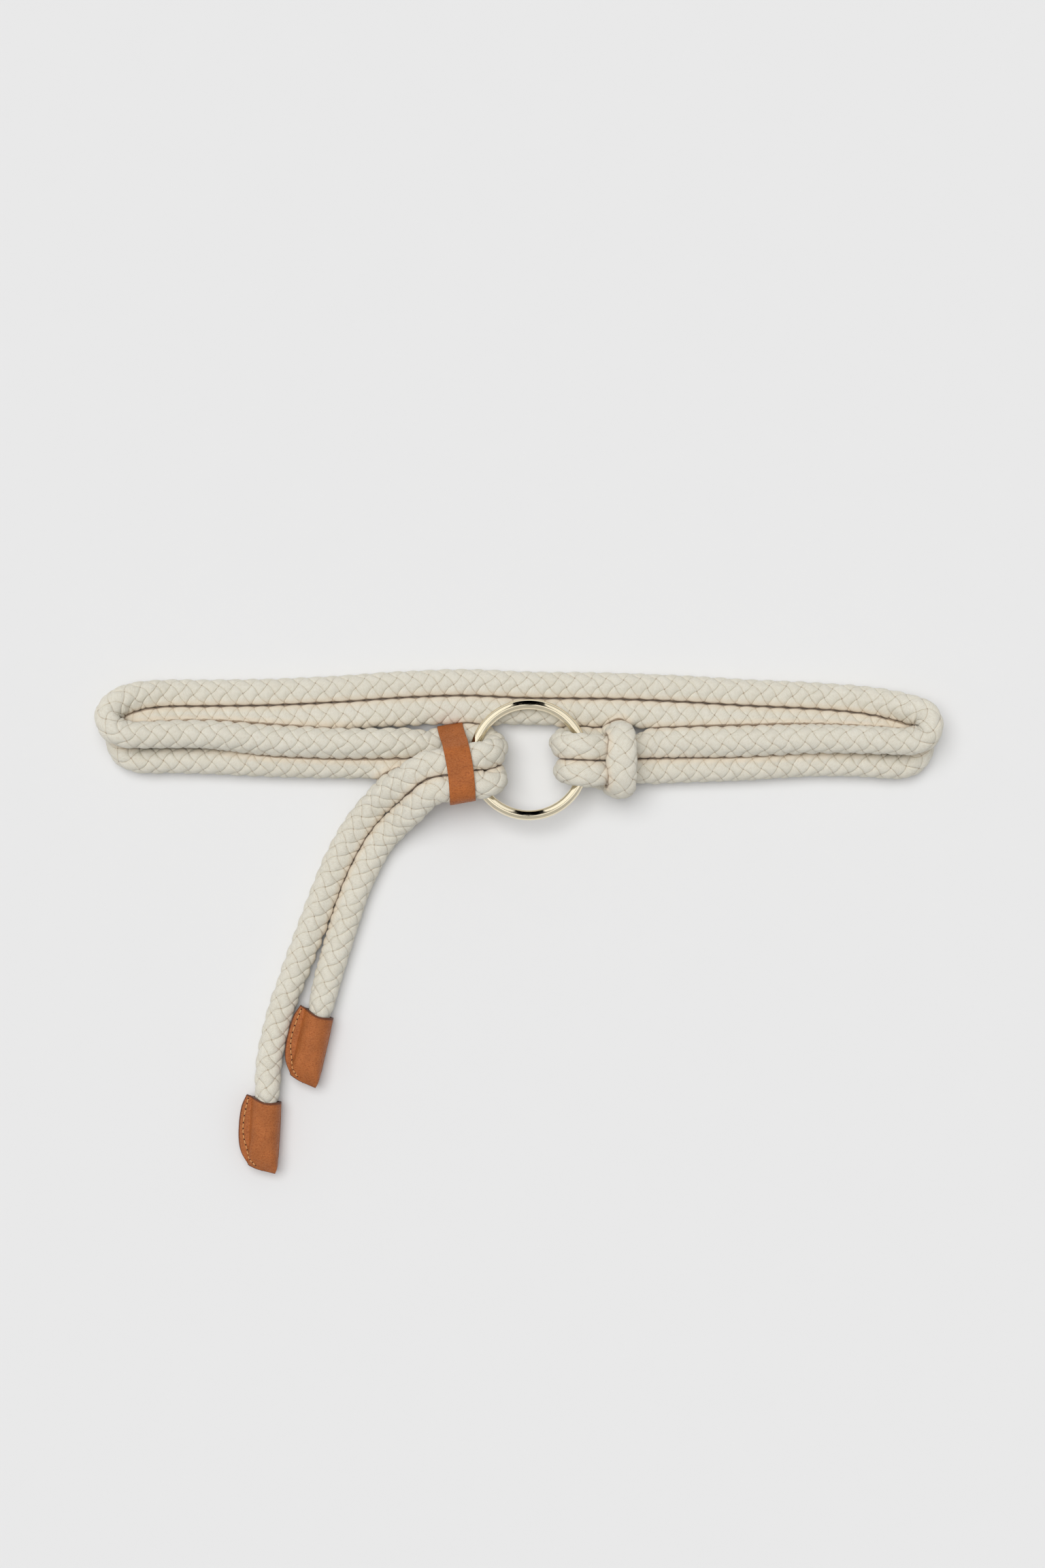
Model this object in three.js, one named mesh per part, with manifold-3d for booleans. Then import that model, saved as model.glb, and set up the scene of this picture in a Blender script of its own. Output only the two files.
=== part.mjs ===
// A rope waist belt, folded up and lying flat.
//
// One braided cotton rope is folded in two. Its middle is hitched on a metal ring; its two ends
// go up through the ring, fold back over it, pass a leather keeper and end in sewn leather tips.
// Units are millimetres, +X runs along the belt, +Z is up and the belt lies on z = 0.
// The drawing is made about the ring's centre and moved to the middle of its footprint at the end.

import * as THREE from 'three';
import { mergeVertices } from 'three/addons/utils/BufferGeometryUtils.js';
import Module from 'manifold-3d';

const wasm = await Module();
wasm.setup();

// ---- Driving dimensions ----

const GAP = 0.3; // clearance between neighbouring pieces
const SLIDE_GAP = 0.5; // between the keeper and the strands it slides on
const ROPE_D = 13; // braided rope, outside the cover
const CORE_D = 7; // filler core inside the cover
const RING_OUTER_D = 60;
const WIRE_D = 5; // wire that the ring is bent from
const LEATHER = 1.2; // hide thickness, keeper and tips

const KEEPER_LENGTH = 13; // along the belt
const KEEPER_TUCK = 0.3; // how far the keeper's near end, unturned, is inside the ring's rim
const KEEPER_DROP = 0.5; // its middle is this much to -Y of the ring's centre
const KEEPER_TURN = THREE.MathUtils.degToRad(10); // strands climb by this much inside the keeper
const KEEPER_TRAVEL = 4; // how far the keeper slides away from the ring
const RUN_ON = 2; // the strands stay bunched for this much further
const LAP_LENGTH = 11; // overlap where the keeper strip is sewn to itself

const TIP_GRIP = 25; // depth of the rope in a leather tip
const TIP_TAPER = 11; // leather beyond the end of the rope
const TIP_SQUEEZE = 0.8; // rope diameter inside a tip, as a share of the free rope
const FLANGE_W = 4.7; // sewn edge, beyond the pocket
const STITCH = 3; // stitch length
const THREAD = 0.6;
const TAPE = 0.4; // binding on a cut rope end
const TAPE_LENGTH = 13;

// ---- Worked-out dimensions ----

// The middle of the keeper, from the ring's centre.
const KEEPER_AT = [-(RING_OUTER_D + KEEPER_LENGTH) / 2 + KEEPER_TUCK, -KEEPER_DROP];
const ROPE_R = ROPE_D / 2;
const CORE_R = CORE_D / 2;
const BORE_R = CORE_R + GAP; // hollow of the braided cover
const WIRE_R = WIRE_D / 2;
const RING_R = RING_OUTER_D / 2 - WIRE_R; // ring centre to wire centre
const LIE_Z = ROPE_R; // centre of a rope that lies on the surface
const SOLE_Z = LEATHER + SLIDE_GAP + ROPE_R; // centre of a strand that lies on the keeper's sole
const RING_Z = SOLE_Z + ROPE_R + GAP + WIRE_R; // wire centre, over the strands below it
const WIRE_GAP = 2 * GAP; // between the rope and the wire that it wraps
const OVER_Z = RING_Z + WIRE_R + WIRE_GAP + ROPE_R; // strand centre, over the wire
const POCKET_R = TIP_SQUEEZE * ROPE_R + GAP + TAPE + GAP; // inside of a tip
const TIP_R = POCKET_R + LEATHER;
const TIP_Z = TIP_R; // rope centre inside a tip that lies on the surface

const SIDES = 10; // facets round a rope
const BORE_SIDES = 8;
const CORE_SIDES = 6;
const TIP_SIDES = 20; // facets round a tip and its binding
const STEP_TURN = THREE.MathUtils.degToRad(25); // most that a rope turns in one step
const BAND_TURN = THREE.MathUtils.degToRad(20); // and the keeper's band
const RING_FACETS = 40;
const WIRE_FACETS = 10;
const WELD = 1e-4; // vertices nearer than this are one

// ---- Materials ----

const finish = (color, roughness, metalness = 0) =>
  new THREE.MeshStandardMaterial({ color, roughness, metalness });
const COTTON = [0xe4ddc9, 0.95];
const FILLER = [0xd9d2c0, 1];
const GOLD = [0xd9bd86, 0.18, 1];
const TAN = [0xa5531f, 0.55];
const THREAD_ORANGE = [0xc8742c, 0.8];
const TAPE_BUFF = [0xd8cdb0, 0.7];

// ---- Solids ----

// A closed three.js geometry as a Manifold solid.
function solid(geometry) {
  const bare = geometry.clone();
  bare.deleteAttribute('normal');
  bare.deleteAttribute('uv');
  const merged = mergeVertices(bare, WELD);
  return new wasm.Manifold(new wasm.Mesh({
    numProp: 3,
    vertProperties: new Float32Array(merged.attributes.position.array),
    triVerts: new Uint32Array(merged.index.array),
  }));
}

// A Manifold solid back as a three.js geometry.
function geometryOf(manifold) {
  const mesh = manifold.getMesh();
  const geometry = new THREE.BufferGeometry();
  geometry.setAttribute('position', new THREE.BufferAttribute(mesh.vertProperties, 3));
  geometry.setIndex(new THREE.BufferAttribute(mesh.triVerts, 1));
  geometry.computeVertexNormals();
  return geometry;
}

function polygon(radius, sides) {
  const points = [];
  for (let i = 0; i < sides; i += 1) {
    const angle = (i + 0.5) * 2 * Math.PI / sides;
    points.push(new THREE.Vector2(radius * Math.cos(angle), radius * Math.sin(angle)));
  }
  return points;
}

// ---- The rope's route ----
// A route point is [x, y, z, squeeze]: squeeze is the rope's local diameter as a share of ROPE_D,
// under 1 where a hitch or a tip pinches it.

// A point in the keeper, from its place along the belt and across it.
function inKeeper(along, across, z, squeeze = 1) {
  const c = Math.cos(KEEPER_TURN);
  const s = Math.sin(KEEPER_TURN);
  return [
    KEEPER_AT[0] + along * c - across * s,
    KEEPER_AT[1] + along * s + across * c,
    z,
    squeeze,
  ];
}

// A point round the ring's wire. Turn 90 is over the wire, 0 inside the ring, -90 under it.
function roundWire(side, y, turn, squeeze = 1) {
  const angle = THREE.MathUtils.degToRad(turn);
  const reach = WIRE_R + WIRE_GAP + squeeze * ROPE_R;
  const fromCentre = RING_R - reach * Math.cos(angle);
  return [
    side * Math.sqrt(fromCentre ** 2 - y ** 2),
    y,
    RING_Z + reach * Math.sin(angle),
    squeeze,
  ];
}

// Strand places inside the keeper: two strands below, two tails above them.
const BELOW_A = 10.4;
const BELOW_B = BELOW_A - ROPE_D - GAP;
const TAIL_A = 0.5;
const TAIL_B = TAIL_A - ROPE_D - 2 * GAP;
const MOUTH_NEAR = KEEPER_LENGTH / 2;
const MOUTH_FAR = KEEPER_LENGTH / 2 + KEEPER_TRAVEL + RUN_ON;

// The joint where each tail bends, and the tail beyond it down to the cut end in its tip.
const PIVOT_A = [-100.5, -61.0, LIE_Z, 1];
const PIVOT_B = [-84.5, -61.5, LIE_Z, 1];

// The cut end of each tail's rope, and the way its tip lies: 0 has the mouth at +Y.
const END_A = { at: [-132.2, -195.0], turn: THREE.MathUtils.degToRad(-3.5) };
const END_B = { at: [-110.2, -151.5], turn: THREE.MathUtils.degToRad(-13) };

// A point inside a tip, from its distance to the rope's cut end.
function inTip({ at, turn }, depth, squeeze = TIP_SQUEEZE) {
  return [at[0] - depth * Math.sin(turn), at[1] + depth * Math.cos(turn), TIP_Z, squeeze];
}

const TAIL_A_ROUTE = [
  PIVOT_A,
  [-108.0, -81.0, LIE_Z, 1],
  [-117.5, -107.0, LIE_Z, 1],
  [-124.8, -129.0, LIE_Z, 1],
  [-129.4, -150.0, LIE_Z + 0.1, 1],
  inTip(END_A, TIP_GRIP + 6, 0.96),
  inTip(END_A, TIP_GRIP - 1),
  inTip(END_A, TIP_GRIP / 2),
  inTip(END_A, 0),
];

const TAIL_B_ROUTE = [
  PIVOT_B,
  [-91.0, -80.0, LIE_Z, 1],
  [-96.0, -96.0, LIE_Z, 1],
  [-100.2, -110.0, LIE_Z + 0.1, 1],
  inTip(END_B, TIP_GRIP + 6, 0.96),
  inTip(END_B, TIP_GRIP - 1),
  inTip(END_B, TIP_GRIP / 2),
  inTip(END_B, 0),
];

const WAIST_ROUTE = [
  // tail A, from its joint to the ring
  PIVOT_A,
  [-94.0, -46.5, 6.6, 1],
  [-86.5, -33.5, 7.0, 1],
  [-78.0, -22.7, 8.8, 1],
  [-69.5, -15.0, 14.2, 1],
  [-60.5, -8.8, 20.6, 1],
  inKeeper(-MOUTH_FAR - 6, TAIL_A - 1.0, OVER_Z - 3.2),
  inKeeper(-MOUTH_FAR, TAIL_A, OVER_Z - 1.8),
  inKeeper(-MOUTH_NEAR, TAIL_A, OVER_Z - 0.8),
  inKeeper(MOUTH_NEAR, TAIL_A, OVER_Z),
  roundWire(-1, 2.2, 80),
  roundWire(-1, 3.4, 40),
  roundWire(-1, 5.6, 0),
  roundWire(-1, 8.2, -45),
  roundWire(-1, 10.0, -85),
  // strand A, front, out to the left end
  inKeeper(MOUTH_NEAR, BELOW_A, SOLE_Z),
  inKeeper(-MOUTH_NEAR, BELOW_A, SOLE_Z),
  inKeeper(-MOUTH_FAR, BELOW_A, SOLE_Z + 0.5),
  [-60.0, 8.4, 10.5, 1],
  [-73.5, 8.5, 13.8, 1],
  [-93.5, 8.4, 14.6, 1],
  [-127.0, 9.6, 15.0, 1],
  [-161.0, 12.3, 17.8, 1],
  [-181.0, 12.4, 18.6, 1],
  [-192.0, 12.2, 19.4, 1],
  [-200.5, 12.8, 20.0, 1],
  [-206.4, 16.0, 19.6, 1],
  [-208.6, 21.8, 18.0, 1],
  [-204.6, 28.2, 15.0, 1],
  [-196.5, 31.8, 11.2, 1],
  [-183.0, 33.3, 7.3, 1],
  // strand A, back, to the right end
  [-161.0, 33.4, LIE_Z + 0.1, 1],
  [-127.0, 33.9, LIE_Z, 1],
  [-93.5, 35.5, LIE_Z, 1],
  [-60.0, 37.8, LIE_Z, 1],
  [-30.0, 38.6, LIE_Z, 1],
  [-0.5, 37.4, LIE_Z, 1],
  [34.5, 37.0, LIE_Z, 1],
  [75.0, 35.6, LIE_Z, 1],
  [108.5, 33.6, LIE_Z, 1],
  [142.5, 32.0, LIE_Z + 0.1, 1],
  [166.0, 30.2, 7.2, 1],
  [179.5, 28.2, 10.6, 1],
  [188.6, 25.8, 14.8, 1],
  [195.8, 23.0, 17.8, 1],
  [198.4, 17.3, 19.6, 1],
  [196.3, 11.7, 20.0, 1],
  [190.0, 9.1, 19.8, 1],
  // strand A, front, in to the hitch
  [176.0, 9.4, 18.8, 1],
  [142.5, 10.2, 17.2, 1],
  [108.5, 9.2, 14.2, 1],
  [75.0, 8.6, 10.4, 1],
  [61.5, 8.0, 9.6, 1],
  [54.0, 6.8, 10.8, 0.84],
  [46.0, 4.6, 14.0, 0.71],
  [37.8, 5.6, 20.4, 0.82],
  roundWire(1, 6.4, 118, 0.94),
  roundWire(1, 6.8, 82, 0.95),
  roundWire(1, 7.4, 45, 0.95),
  roundWire(1, 8.3, 0, 0.95),
  roundWire(1, 9.2, -45, 0.95),
  roundWire(1, 9.8, -90, 0.9),
  // the bight that goes over both strands
  [34.0, 10.0, 7.0, 0.8],
  [39.6, 10.9, 7.4, 0.73],
  [43.6, 13.4, 11.8, 0.71],
  [45.4, 14.2, 17.0, 0.71],
  [46.0, 12.6, 22.4, 0.71],
  [46.2, 7.4, 26.8, 0.74],
  [46.2, -0.2, 28.2, 0.76],
  [46.2, -8.0, 26.8, 0.74],
  [46.2, -13.2, 22.6, 0.71],
  [45.4, -14.8, 17.0, 0.71],
  [43.6, -14.0, 11.8, 0.71],
  [39.6, -11.2, 7.4, 0.73],
  [34.0, -9.0, 7.0, 0.8],
  // strand B, front, out to the right end
  roundWire(1, -7.6, -90, 0.88),
  roundWire(1, -6.4, -45, 0.88),
  roundWire(1, -5.6, 0, 0.88),
  roundWire(1, -6.2, 45, 0.9),
  roundWire(1, -7.0, 82, 0.95),
  roundWire(1, -7.2, 118, 0.94),
  [37.8, -6.4, 20.4, 0.82],
  [46.0, -5.0, 14.0, 0.71],
  [54.0, -5.8, 10.4, 0.84],
  [61.5, -5.5, 7.4, 1],
  [75.0, -4.8, LIE_Z + 0.1, 1],
  [108.5, -3.6, LIE_Z, 1],
  [142.5, -1.6, LIE_Z, 1],
  [166.0, -1.9, LIE_Z, 1],
  [180.0, -2.8, LIE_Z, 1],
  [189.0, -2.0, LIE_Z, 1],
  [194.6, 3.0, LIE_Z, 1],
  [194.6, 10.4, LIE_Z, 1],
  [188.6, 14.8, LIE_Z, 1],
  // strand B, back, to the left end
  [177.0, 15.4, LIE_Z, 1],
  [166.0, 16.4, LIE_Z, 1],
  [142.5, 18.6, LIE_Z, 1],
  [108.5, 20.2, LIE_Z, 1],
  [75.0, 22.2, LIE_Z, 1],
  [45.0, 23.6, LIE_Z, 1],
  [-0.5, 24.0, LIE_Z, 1],
  [-33.0, 25.3, LIE_Z, 1],
  [-60.0, 24.4, LIE_Z, 1],
  [-93.5, 22.1, LIE_Z, 1],
  [-127.0, 20.5, LIE_Z, 1],
  [-161.0, 20.0, LIE_Z, 1],
  [-184.5, 19.8, LIE_Z, 1],
  [-195.5, 19.0, LIE_Z, 1],
  [-202.6, 15.0, LIE_Z, 1],
  [-204.5, 9.6, LIE_Z, 1],
  [-202.0, 3.8, LIE_Z, 1],
  [-195.5, 0.4, LIE_Z, 1],
  // strand B, front, in to the ring
  [-178.0, 0.0, LIE_Z, 1],
  [-161.0, -0.4, LIE_Z, 1],
  [-127.0, -1.9, LIE_Z, 1],
  [-93.5, -2.6, LIE_Z, 1],
  [-73.5, -2.8, LIE_Z, 1],
  [-62.0, -4.6, LIE_Z, 1],
  inKeeper(-MOUTH_FAR, BELOW_B, SOLE_Z),
  inKeeper(-MOUTH_NEAR, BELOW_B, SOLE_Z),
  inKeeper(MOUTH_NEAR - 1, BELOW_B, SOLE_Z),
  roundWire(-1, -4.4, -68, 0.95),
  roundWire(-1, -7.0, -30, 0.9),
  roundWire(-1, -9.2, 6, 0.88),
  roundWire(-1, -11.2, 40, 0.9),
  roundWire(-1, -12.8, 80, 0.96),
  // tail B, from the ring to its joint
  inKeeper(MOUTH_NEAR, TAIL_B, OVER_Z),
  inKeeper(-MOUTH_NEAR, TAIL_B, OVER_Z - 0.8),
  inKeeper(-MOUTH_FAR, TAIL_B, OVER_Z - 1.8),
  inKeeper(-MOUTH_FAR - 6, TAIL_B - 2.6, OVER_Z - 5.4),
  [-58.0, -25.6, 16.0, 1],
  [-65.0, -31.8, 10.4, 1],
  [-74.0, -41.6, 6.8, 1],
  PIVOT_B,
];

// A smooth line through a route, stepped by how much it turns: once from point to point where it
// runs straight, and more often in a bend.
class RopeLine extends THREE.CatmullRomCurve3 {
  constructor(route) {
    super(route.map(([x, y, z]) => new THREE.Vector3(x, y, z)), false, 'centripetal');
    this.squeezes = route.map((point) => point[3]);
    this.stops = [0];
    const last = route.length - 1;
    for (let i = 0; i < last; i += 1) {
      const middle = this.getTangent((i + 0.5) / last);
      const turn = this.getTangent(i / last).angleTo(middle) + middle.angleTo(this.getTangent((i + 1) / last));
      const parts = Math.max(1, Math.ceil(turn / STEP_TURN));
      for (let k = 1; k <= parts; k += 1) {
        this.stops.push((i + k / parts) / last);
      }
    }
  }

  getUtoTmapping(u) {
    const place = u * (this.stops.length - 1);
    const i = Math.min(Math.floor(place), this.stops.length - 2);
    return THREE.MathUtils.lerp(this.stops[i], this.stops[i + 1], place - i);
  }

  squeezeAt(t) {
    const place = t * (this.squeezes.length - 1);
    const i = Math.min(Math.floor(place), this.squeezes.length - 2);
    return THREE.MathUtils.lerp(this.squeezes[i], this.squeezes[i + 1], place - i);
  }
}

// The same line, cut short by a length at its start, its end or both.
function trimmed(route, startCut, endCut) {
  const points = route.map((point) => [...point]);
  for (const [from, to, cut] of [[0, 1, startCut], [points.length - 1, points.length - 2, endCut]]) {
    const a = new THREE.Vector3(...points[from]);
    const b = new THREE.Vector3(...points[to]);
    const moved = a.lerp(b, cut / a.distanceTo(b));
    points[from] = [moved.x, moved.y, moved.z, points[from][3]];
  }
  return points;
}

// A round rope or tube along a route; hollow when a bore is given.
function ropeGeometry(route, radius, sides, bore = 0) {
  const line = new RopeLine(route);
  const section = new THREE.Shape(polygon(radius, sides));
  if (bore > 0) {
    section.holes.push(new THREE.Path(polygon(bore, BORE_SIDES)));
  }
  const geometry = new THREE.ExtrudeGeometry(section, {
    steps: line.stops.length - 1,
    extrudePath: line,
    bevelEnabled: false,
  });
  pinch(geometry, line, radius);
  return geometry;
}

// Draws each ring of vertices in towards the line by the route's squeeze.
function pinch(geometry, line, radius) {
  const rings = line.stops.map((t) => (
    { at: line.getPoint(t), along: line.getTangent(t), squeeze: line.squeezeAt(t) }
  ));
  const position = geometry.attributes.position;
  const vertex = new THREE.Vector3();
  const offset = new THREE.Vector3();
  const onPlane = 1e-3;
  for (let i = 0; i < position.count; i += 1) {
    vertex.fromBufferAttribute(position, i);
    const ring = rings.find(({ at, along }) => {
      offset.subVectors(vertex, at);
      return offset.lengthSq() < (radius + onPlane) ** 2 && Math.abs(offset.dot(along)) < onPlane;
    });
    if (ring) {
      offset.subVectors(vertex, ring.at).multiplyScalar(ring.squeeze);
      vertex.addVectors(ring.at, offset);
      position.setXYZ(i, vertex.x, vertex.y, vertex.z);
    }
  }
}

// ---- Rope pieces ----

const JOINT_CUT = ROPE_R + 2 * GAP; // the waist rope stops this far short of a tail's joint

function waistCover() {
  return ropeGeometry(trimmed(WAIST_ROUTE, JOINT_CUT, JOINT_CUT), ROPE_R, SIDES, BORE_R);
}

function waistCore() {
  return ropeGeometry(trimmed(WAIST_ROUTE, JOINT_CUT, JOINT_CUT), CORE_R, CORE_SIDES);
}

// A tail's cover starts in a ball about its joint, so that it can turn against the waist rope.
function tailCover(route) {
  const ball = new THREE.SphereGeometry(ROPE_R, SIDES, SIDES / 2);
  ball.translate(...route[0].slice(0, 3));
  const before = trimmed(route, -2 * ROPE_R, -2 * ROPE_R);
  const bore = solid(ropeGeometry(before, BORE_R, BORE_SIDES));
  return geometryOf(solid(ropeGeometry(route, ROPE_R, SIDES)).add(solid(ball)).subtract(bore));
}

function tailCore(route) {
  return ropeGeometry(trimmed(route, -ROPE_R / 2, 0), CORE_R, CORE_SIDES);
}

// ---- Ring ----

function ring() {
  return new THREE.TorusGeometry(RING_R, WIRE_R, WIRE_FACETS, RING_FACETS);
}

// ---- Keeper ----

// The convex outline round circles of one radius, in order, going anticlockwise.
function hullOutline(centres, radius) {
  const points = [];
  const count = centres.length;
  for (let i = 0; i < count; i += 1) {
    const here = centres[i];
    const before = centres[(i + count - 1) % count];
    const after = centres[(i + 1) % count];
    const start = Math.atan2(here.y - before.y, here.x - before.x) - Math.PI / 2;
    let end = Math.atan2(after.y - here.y, after.x - here.x) - Math.PI / 2;
    if (end < start) {
      end += 2 * Math.PI;
    }
    const parts = Math.max(2, Math.ceil((end - start) / BAND_TURN));
    for (let k = 0; k <= parts; k += 1) {
      const angle = start + (end - start) * k / parts;
      points.push(new THREE.Vector2(here.x + radius * Math.cos(angle), here.y + radius * Math.sin(angle)));
    }
  }
  return points;
}

const KEEPER_CENTRES = [
  new THREE.Vector2(BELOW_B, SOLE_Z),
  new THREE.Vector2(BELOW_A, SOLE_Z),
  new THREE.Vector2(TAIL_A, OVER_Z),
  new THREE.Vector2(TAIL_B, OVER_Z),
];

// Where the strip laps over itself: on the slope from the lower strand to the outer tail.
const LAP_SLOPE = Math.atan2(OVER_Z - SOLE_Z, TAIL_B - BELOW_B);
const LAP_AT = new THREE.Vector2((BELOW_B + TAIL_B) / 2, (SOLE_Z + OVER_Z) / 2);

// A block on the lap, given its reach along the belt, up the slope and outwards from the strands.
function lapBlock(along, up, low, high, atAlong = 0, atUp = 0) {
  const block = new THREE.BoxGeometry(along, up, high - low);
  block.translate(atAlong, atUp, (low + high) / 2);
  block.rotateX(LAP_SLOPE);
  block.translate(0, LAP_AT.x, LAP_AT.y);
  return block;
}

const BAND_IN = ROPE_R + SLIDE_GAP;
const BAND_OUT = BAND_IN + LEATHER;
const LAP_OUT = BAND_OUT + LEATHER;
const LAP_STITCHES = 3;

function lapPosts(size) {
  const posts = [];
  for (let i = 0; i <= LAP_STITCHES; i += 1) {
    const along = (i - LAP_STITCHES / 2) * STITCH;
    posts.push(lapBlock(size, size, BAND_IN - GAP - THREAD, LAP_OUT + GAP + THREAD, along));
  }
  return posts;
}

function keeperBand() {
  const section = new THREE.Shape(hullOutline(KEEPER_CENTRES, BAND_OUT));
  section.holes.push(new THREE.Path(hullOutline(KEEPER_CENTRES, BAND_IN)));
  const band = new THREE.ExtrudeGeometry(section, { depth: KEEPER_LENGTH, bevelEnabled: false });
  band.translate(0, 0, -KEEPER_LENGTH / 2);
  band.rotateX(Math.PI / 2);
  band.rotateZ(Math.PI / 2);
  const halfLeather = LEATHER / 2;
  const lap = lapBlock(KEEPER_LENGTH, LAP_LENGTH, BAND_OUT - halfLeather, LAP_OUT);
  let leather = solid(band).add(solid(lap));
  for (const post of lapPosts(THREAD + 2 * GAP)) {
    leather = leather.subtract(solid(post));
  }
  return geometryOf(leather);
}

function keeperThread() {
  const length = LAP_STITCHES * STITCH + THREAD;
  const outside = lapBlock(length, THREAD, LAP_OUT + GAP, LAP_OUT + GAP + THREAD);
  const inside = lapBlock(length, THREAD, BAND_IN - GAP - THREAD, BAND_IN - GAP);
  let thread = solid(outside).add(solid(inside));
  for (const post of lapPosts(THREAD)) {
    thread = thread.add(solid(post));
  }
  return geometryOf(thread);
}

// ---- Tips ----
// A tip is drawn about the cut end of its rope: +Y towards the mouth, the fold at +X and the
// sewn flange at -X.

const FLANGE_X = -(TIP_R + FLANGE_W);
const FLANGE_HALF = LEATHER + GAP / 2; // half the thickness of the two layers sewn together
const FLANGE_RISE = 3; // the flange stands this far above the mouth
const SEAM_INSET = 1.6;
const END_ROOM = 1; // between the rope's cut end and the bottom of its pocket

function tipOutline() {
  const outline = new THREE.Shape();
  outline.moveTo(TIP_R, TIP_GRIP);
  outline.quadraticCurveTo(1, TIP_GRIP - 0.5, -TIP_R + 1.5, TIP_GRIP + FLANGE_RISE - 1);
  outline.lineTo(-TIP_R - 1.5, TIP_GRIP + FLANGE_RISE);
  outline.bezierCurveTo(
    FLANGE_X - 0.5, TIP_GRIP - 3, FLANGE_X - 0.7, TIP_GRIP / 3, FLANGE_X + 1, 1,
  );
  outline.bezierCurveTo(
    FLANGE_X + 2.5, -TIP_TAPER / 3, -TIP_R / 2 - 3, -TIP_TAPER + 3.5, -TIP_R / 2, -TIP_TAPER + 2.4,
  );
  outline.lineTo(TIP_R - 2, -TIP_TAPER);
  outline.quadraticCurveTo(TIP_R - 0.3, -TIP_TAPER, TIP_R - 0.2, -TIP_TAPER + 2);
  outline.closePath();
  return outline;
}

// The line of the seam, a little inside the flange's edge.
function seamLine() {
  return new THREE.CatmullRomCurve3([
    new THREE.Vector3(-TIP_R - 0.9, TIP_GRIP + 1, 0),
    new THREE.Vector3(FLANGE_X + SEAM_INSET + 0.5, TIP_GRIP - 6, 0),
    new THREE.Vector3(FLANGE_X + SEAM_INSET, TIP_GRIP * 0.4, 0),
    new THREE.Vector3(FLANGE_X + SEAM_INSET + 1, 2.5, 0),
    new THREE.Vector3(-TIP_R + 0.3, -TIP_TAPER * 0.36, 0),
    new THREE.Vector3(-TIP_R / 2 - 0.2, -TIP_TAPER * 0.66, 0),
  ]);
}

function seamHoles() {
  const line = seamLine();
  const stitches = Math.round(line.getLength() / STITCH);
  return line.getSpacedPoints(stitches);
}

const SEAM_LOW = FLANGE_HALF + GAP; // the thread lies this far from the middle of the flange
const SEAM_HIGH = SEAM_LOW + THREAD;

function seamPost(at, size) {
  const post = new THREE.BoxGeometry(size, size, 2 * SEAM_HIGH);
  post.translate(at.x, at.y, 0);
  return post;
}

function tipLeather() {
  const half = new THREE.ExtrudeGeometry(tipOutline(), {
    depth: 2 * FLANGE_HALF,
    bevelEnabled: false,
    curveSegments: 6,
  });
  half.translate(0, 0, -FLANGE_HALF);
  const pocket = new THREE.LatheGeometry([
    new THREE.Vector2(0, -TIP_TAPER + 1.5),
    new THREE.Vector2(1.5, -TIP_TAPER + 1.6),
    new THREE.Vector2(TIP_R * 0.42, -TIP_TAPER * 0.72),
    new THREE.Vector2(TIP_R * 0.74, -TIP_TAPER * 0.5),
    new THREE.Vector2(TIP_R * 0.93, -TIP_TAPER * 0.25),
    new THREE.Vector2(TIP_R, 0),
    new THREE.Vector2(TIP_R, TIP_GRIP),
    new THREE.Vector2(0, TIP_GRIP),
  ], TIP_SIDES);
  const hollowLength = TIP_GRIP + 2 * FLANGE_RISE;
  const hollow = new THREE.CylinderGeometry(POCKET_R, POCKET_R, hollowLength, TIP_SIDES);
  hollow.translate(0, hollowLength / 2 - END_ROOM, 0);
  let leather = solid(half).add(solid(pocket)).subtract(solid(hollow));
  for (const at of seamHoles()) {
    leather = leather.subtract(solid(seamPost(at, THREAD + 2 * GAP)));
  }
  return geometryOf(leather);
}

// One run of thread through all the holes, on one side of the flange.
function threadRun(holes, low) {
  const left = [];
  const right = [];
  holes.forEach((at, i) => {
    const before = holes[Math.max(i - 1, 0)];
    const after = holes[Math.min(i + 1, holes.length - 1)];
    const along = new THREE.Vector2(after.x - before.x, after.y - before.y).normalize();
    const reach = THREAD / 2;
    left.push(new THREE.Vector2(at.x - along.y * reach, at.y + along.x * reach));
    right.unshift(new THREE.Vector2(at.x + along.y * reach, at.y - along.x * reach));
  });
  const run = new THREE.ExtrudeGeometry(new THREE.Shape([...right, ...left]), {
    depth: THREAD,
    bevelEnabled: false,
  });
  run.translate(0, 0, low);
  return run;
}

function tipThread() {
  const holes = seamHoles();
  let thread = solid(threadRun(holes, SEAM_LOW)).add(solid(threadRun(holes, -SEAM_HIGH)));
  for (const at of holes) {
    thread = thread.add(solid(seamPost(at, THREAD)));
  }
  return geometryOf(thread);
}

function endTape() {
  const inner = TIP_SQUEEZE * ROPE_R + GAP;
  const outer = inner + TAPE;
  const start = 1; // from the cut end
  return new THREE.LatheGeometry([
    new THREE.Vector2(inner, start),
    new THREE.Vector2(outer, start),
    new THREE.Vector2(outer, start + TAPE_LENGTH),
    new THREE.Vector2(inner, start + TAPE_LENGTH),
    new THREE.Vector2(inner, start),
  ], TIP_SIDES);
}

// ---- Assembly ----

function piece(name, geometry, look) {
  const mesh = new THREE.Mesh(geometry, finish(...look));
  mesh.name = name;
  return mesh;
}

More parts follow.
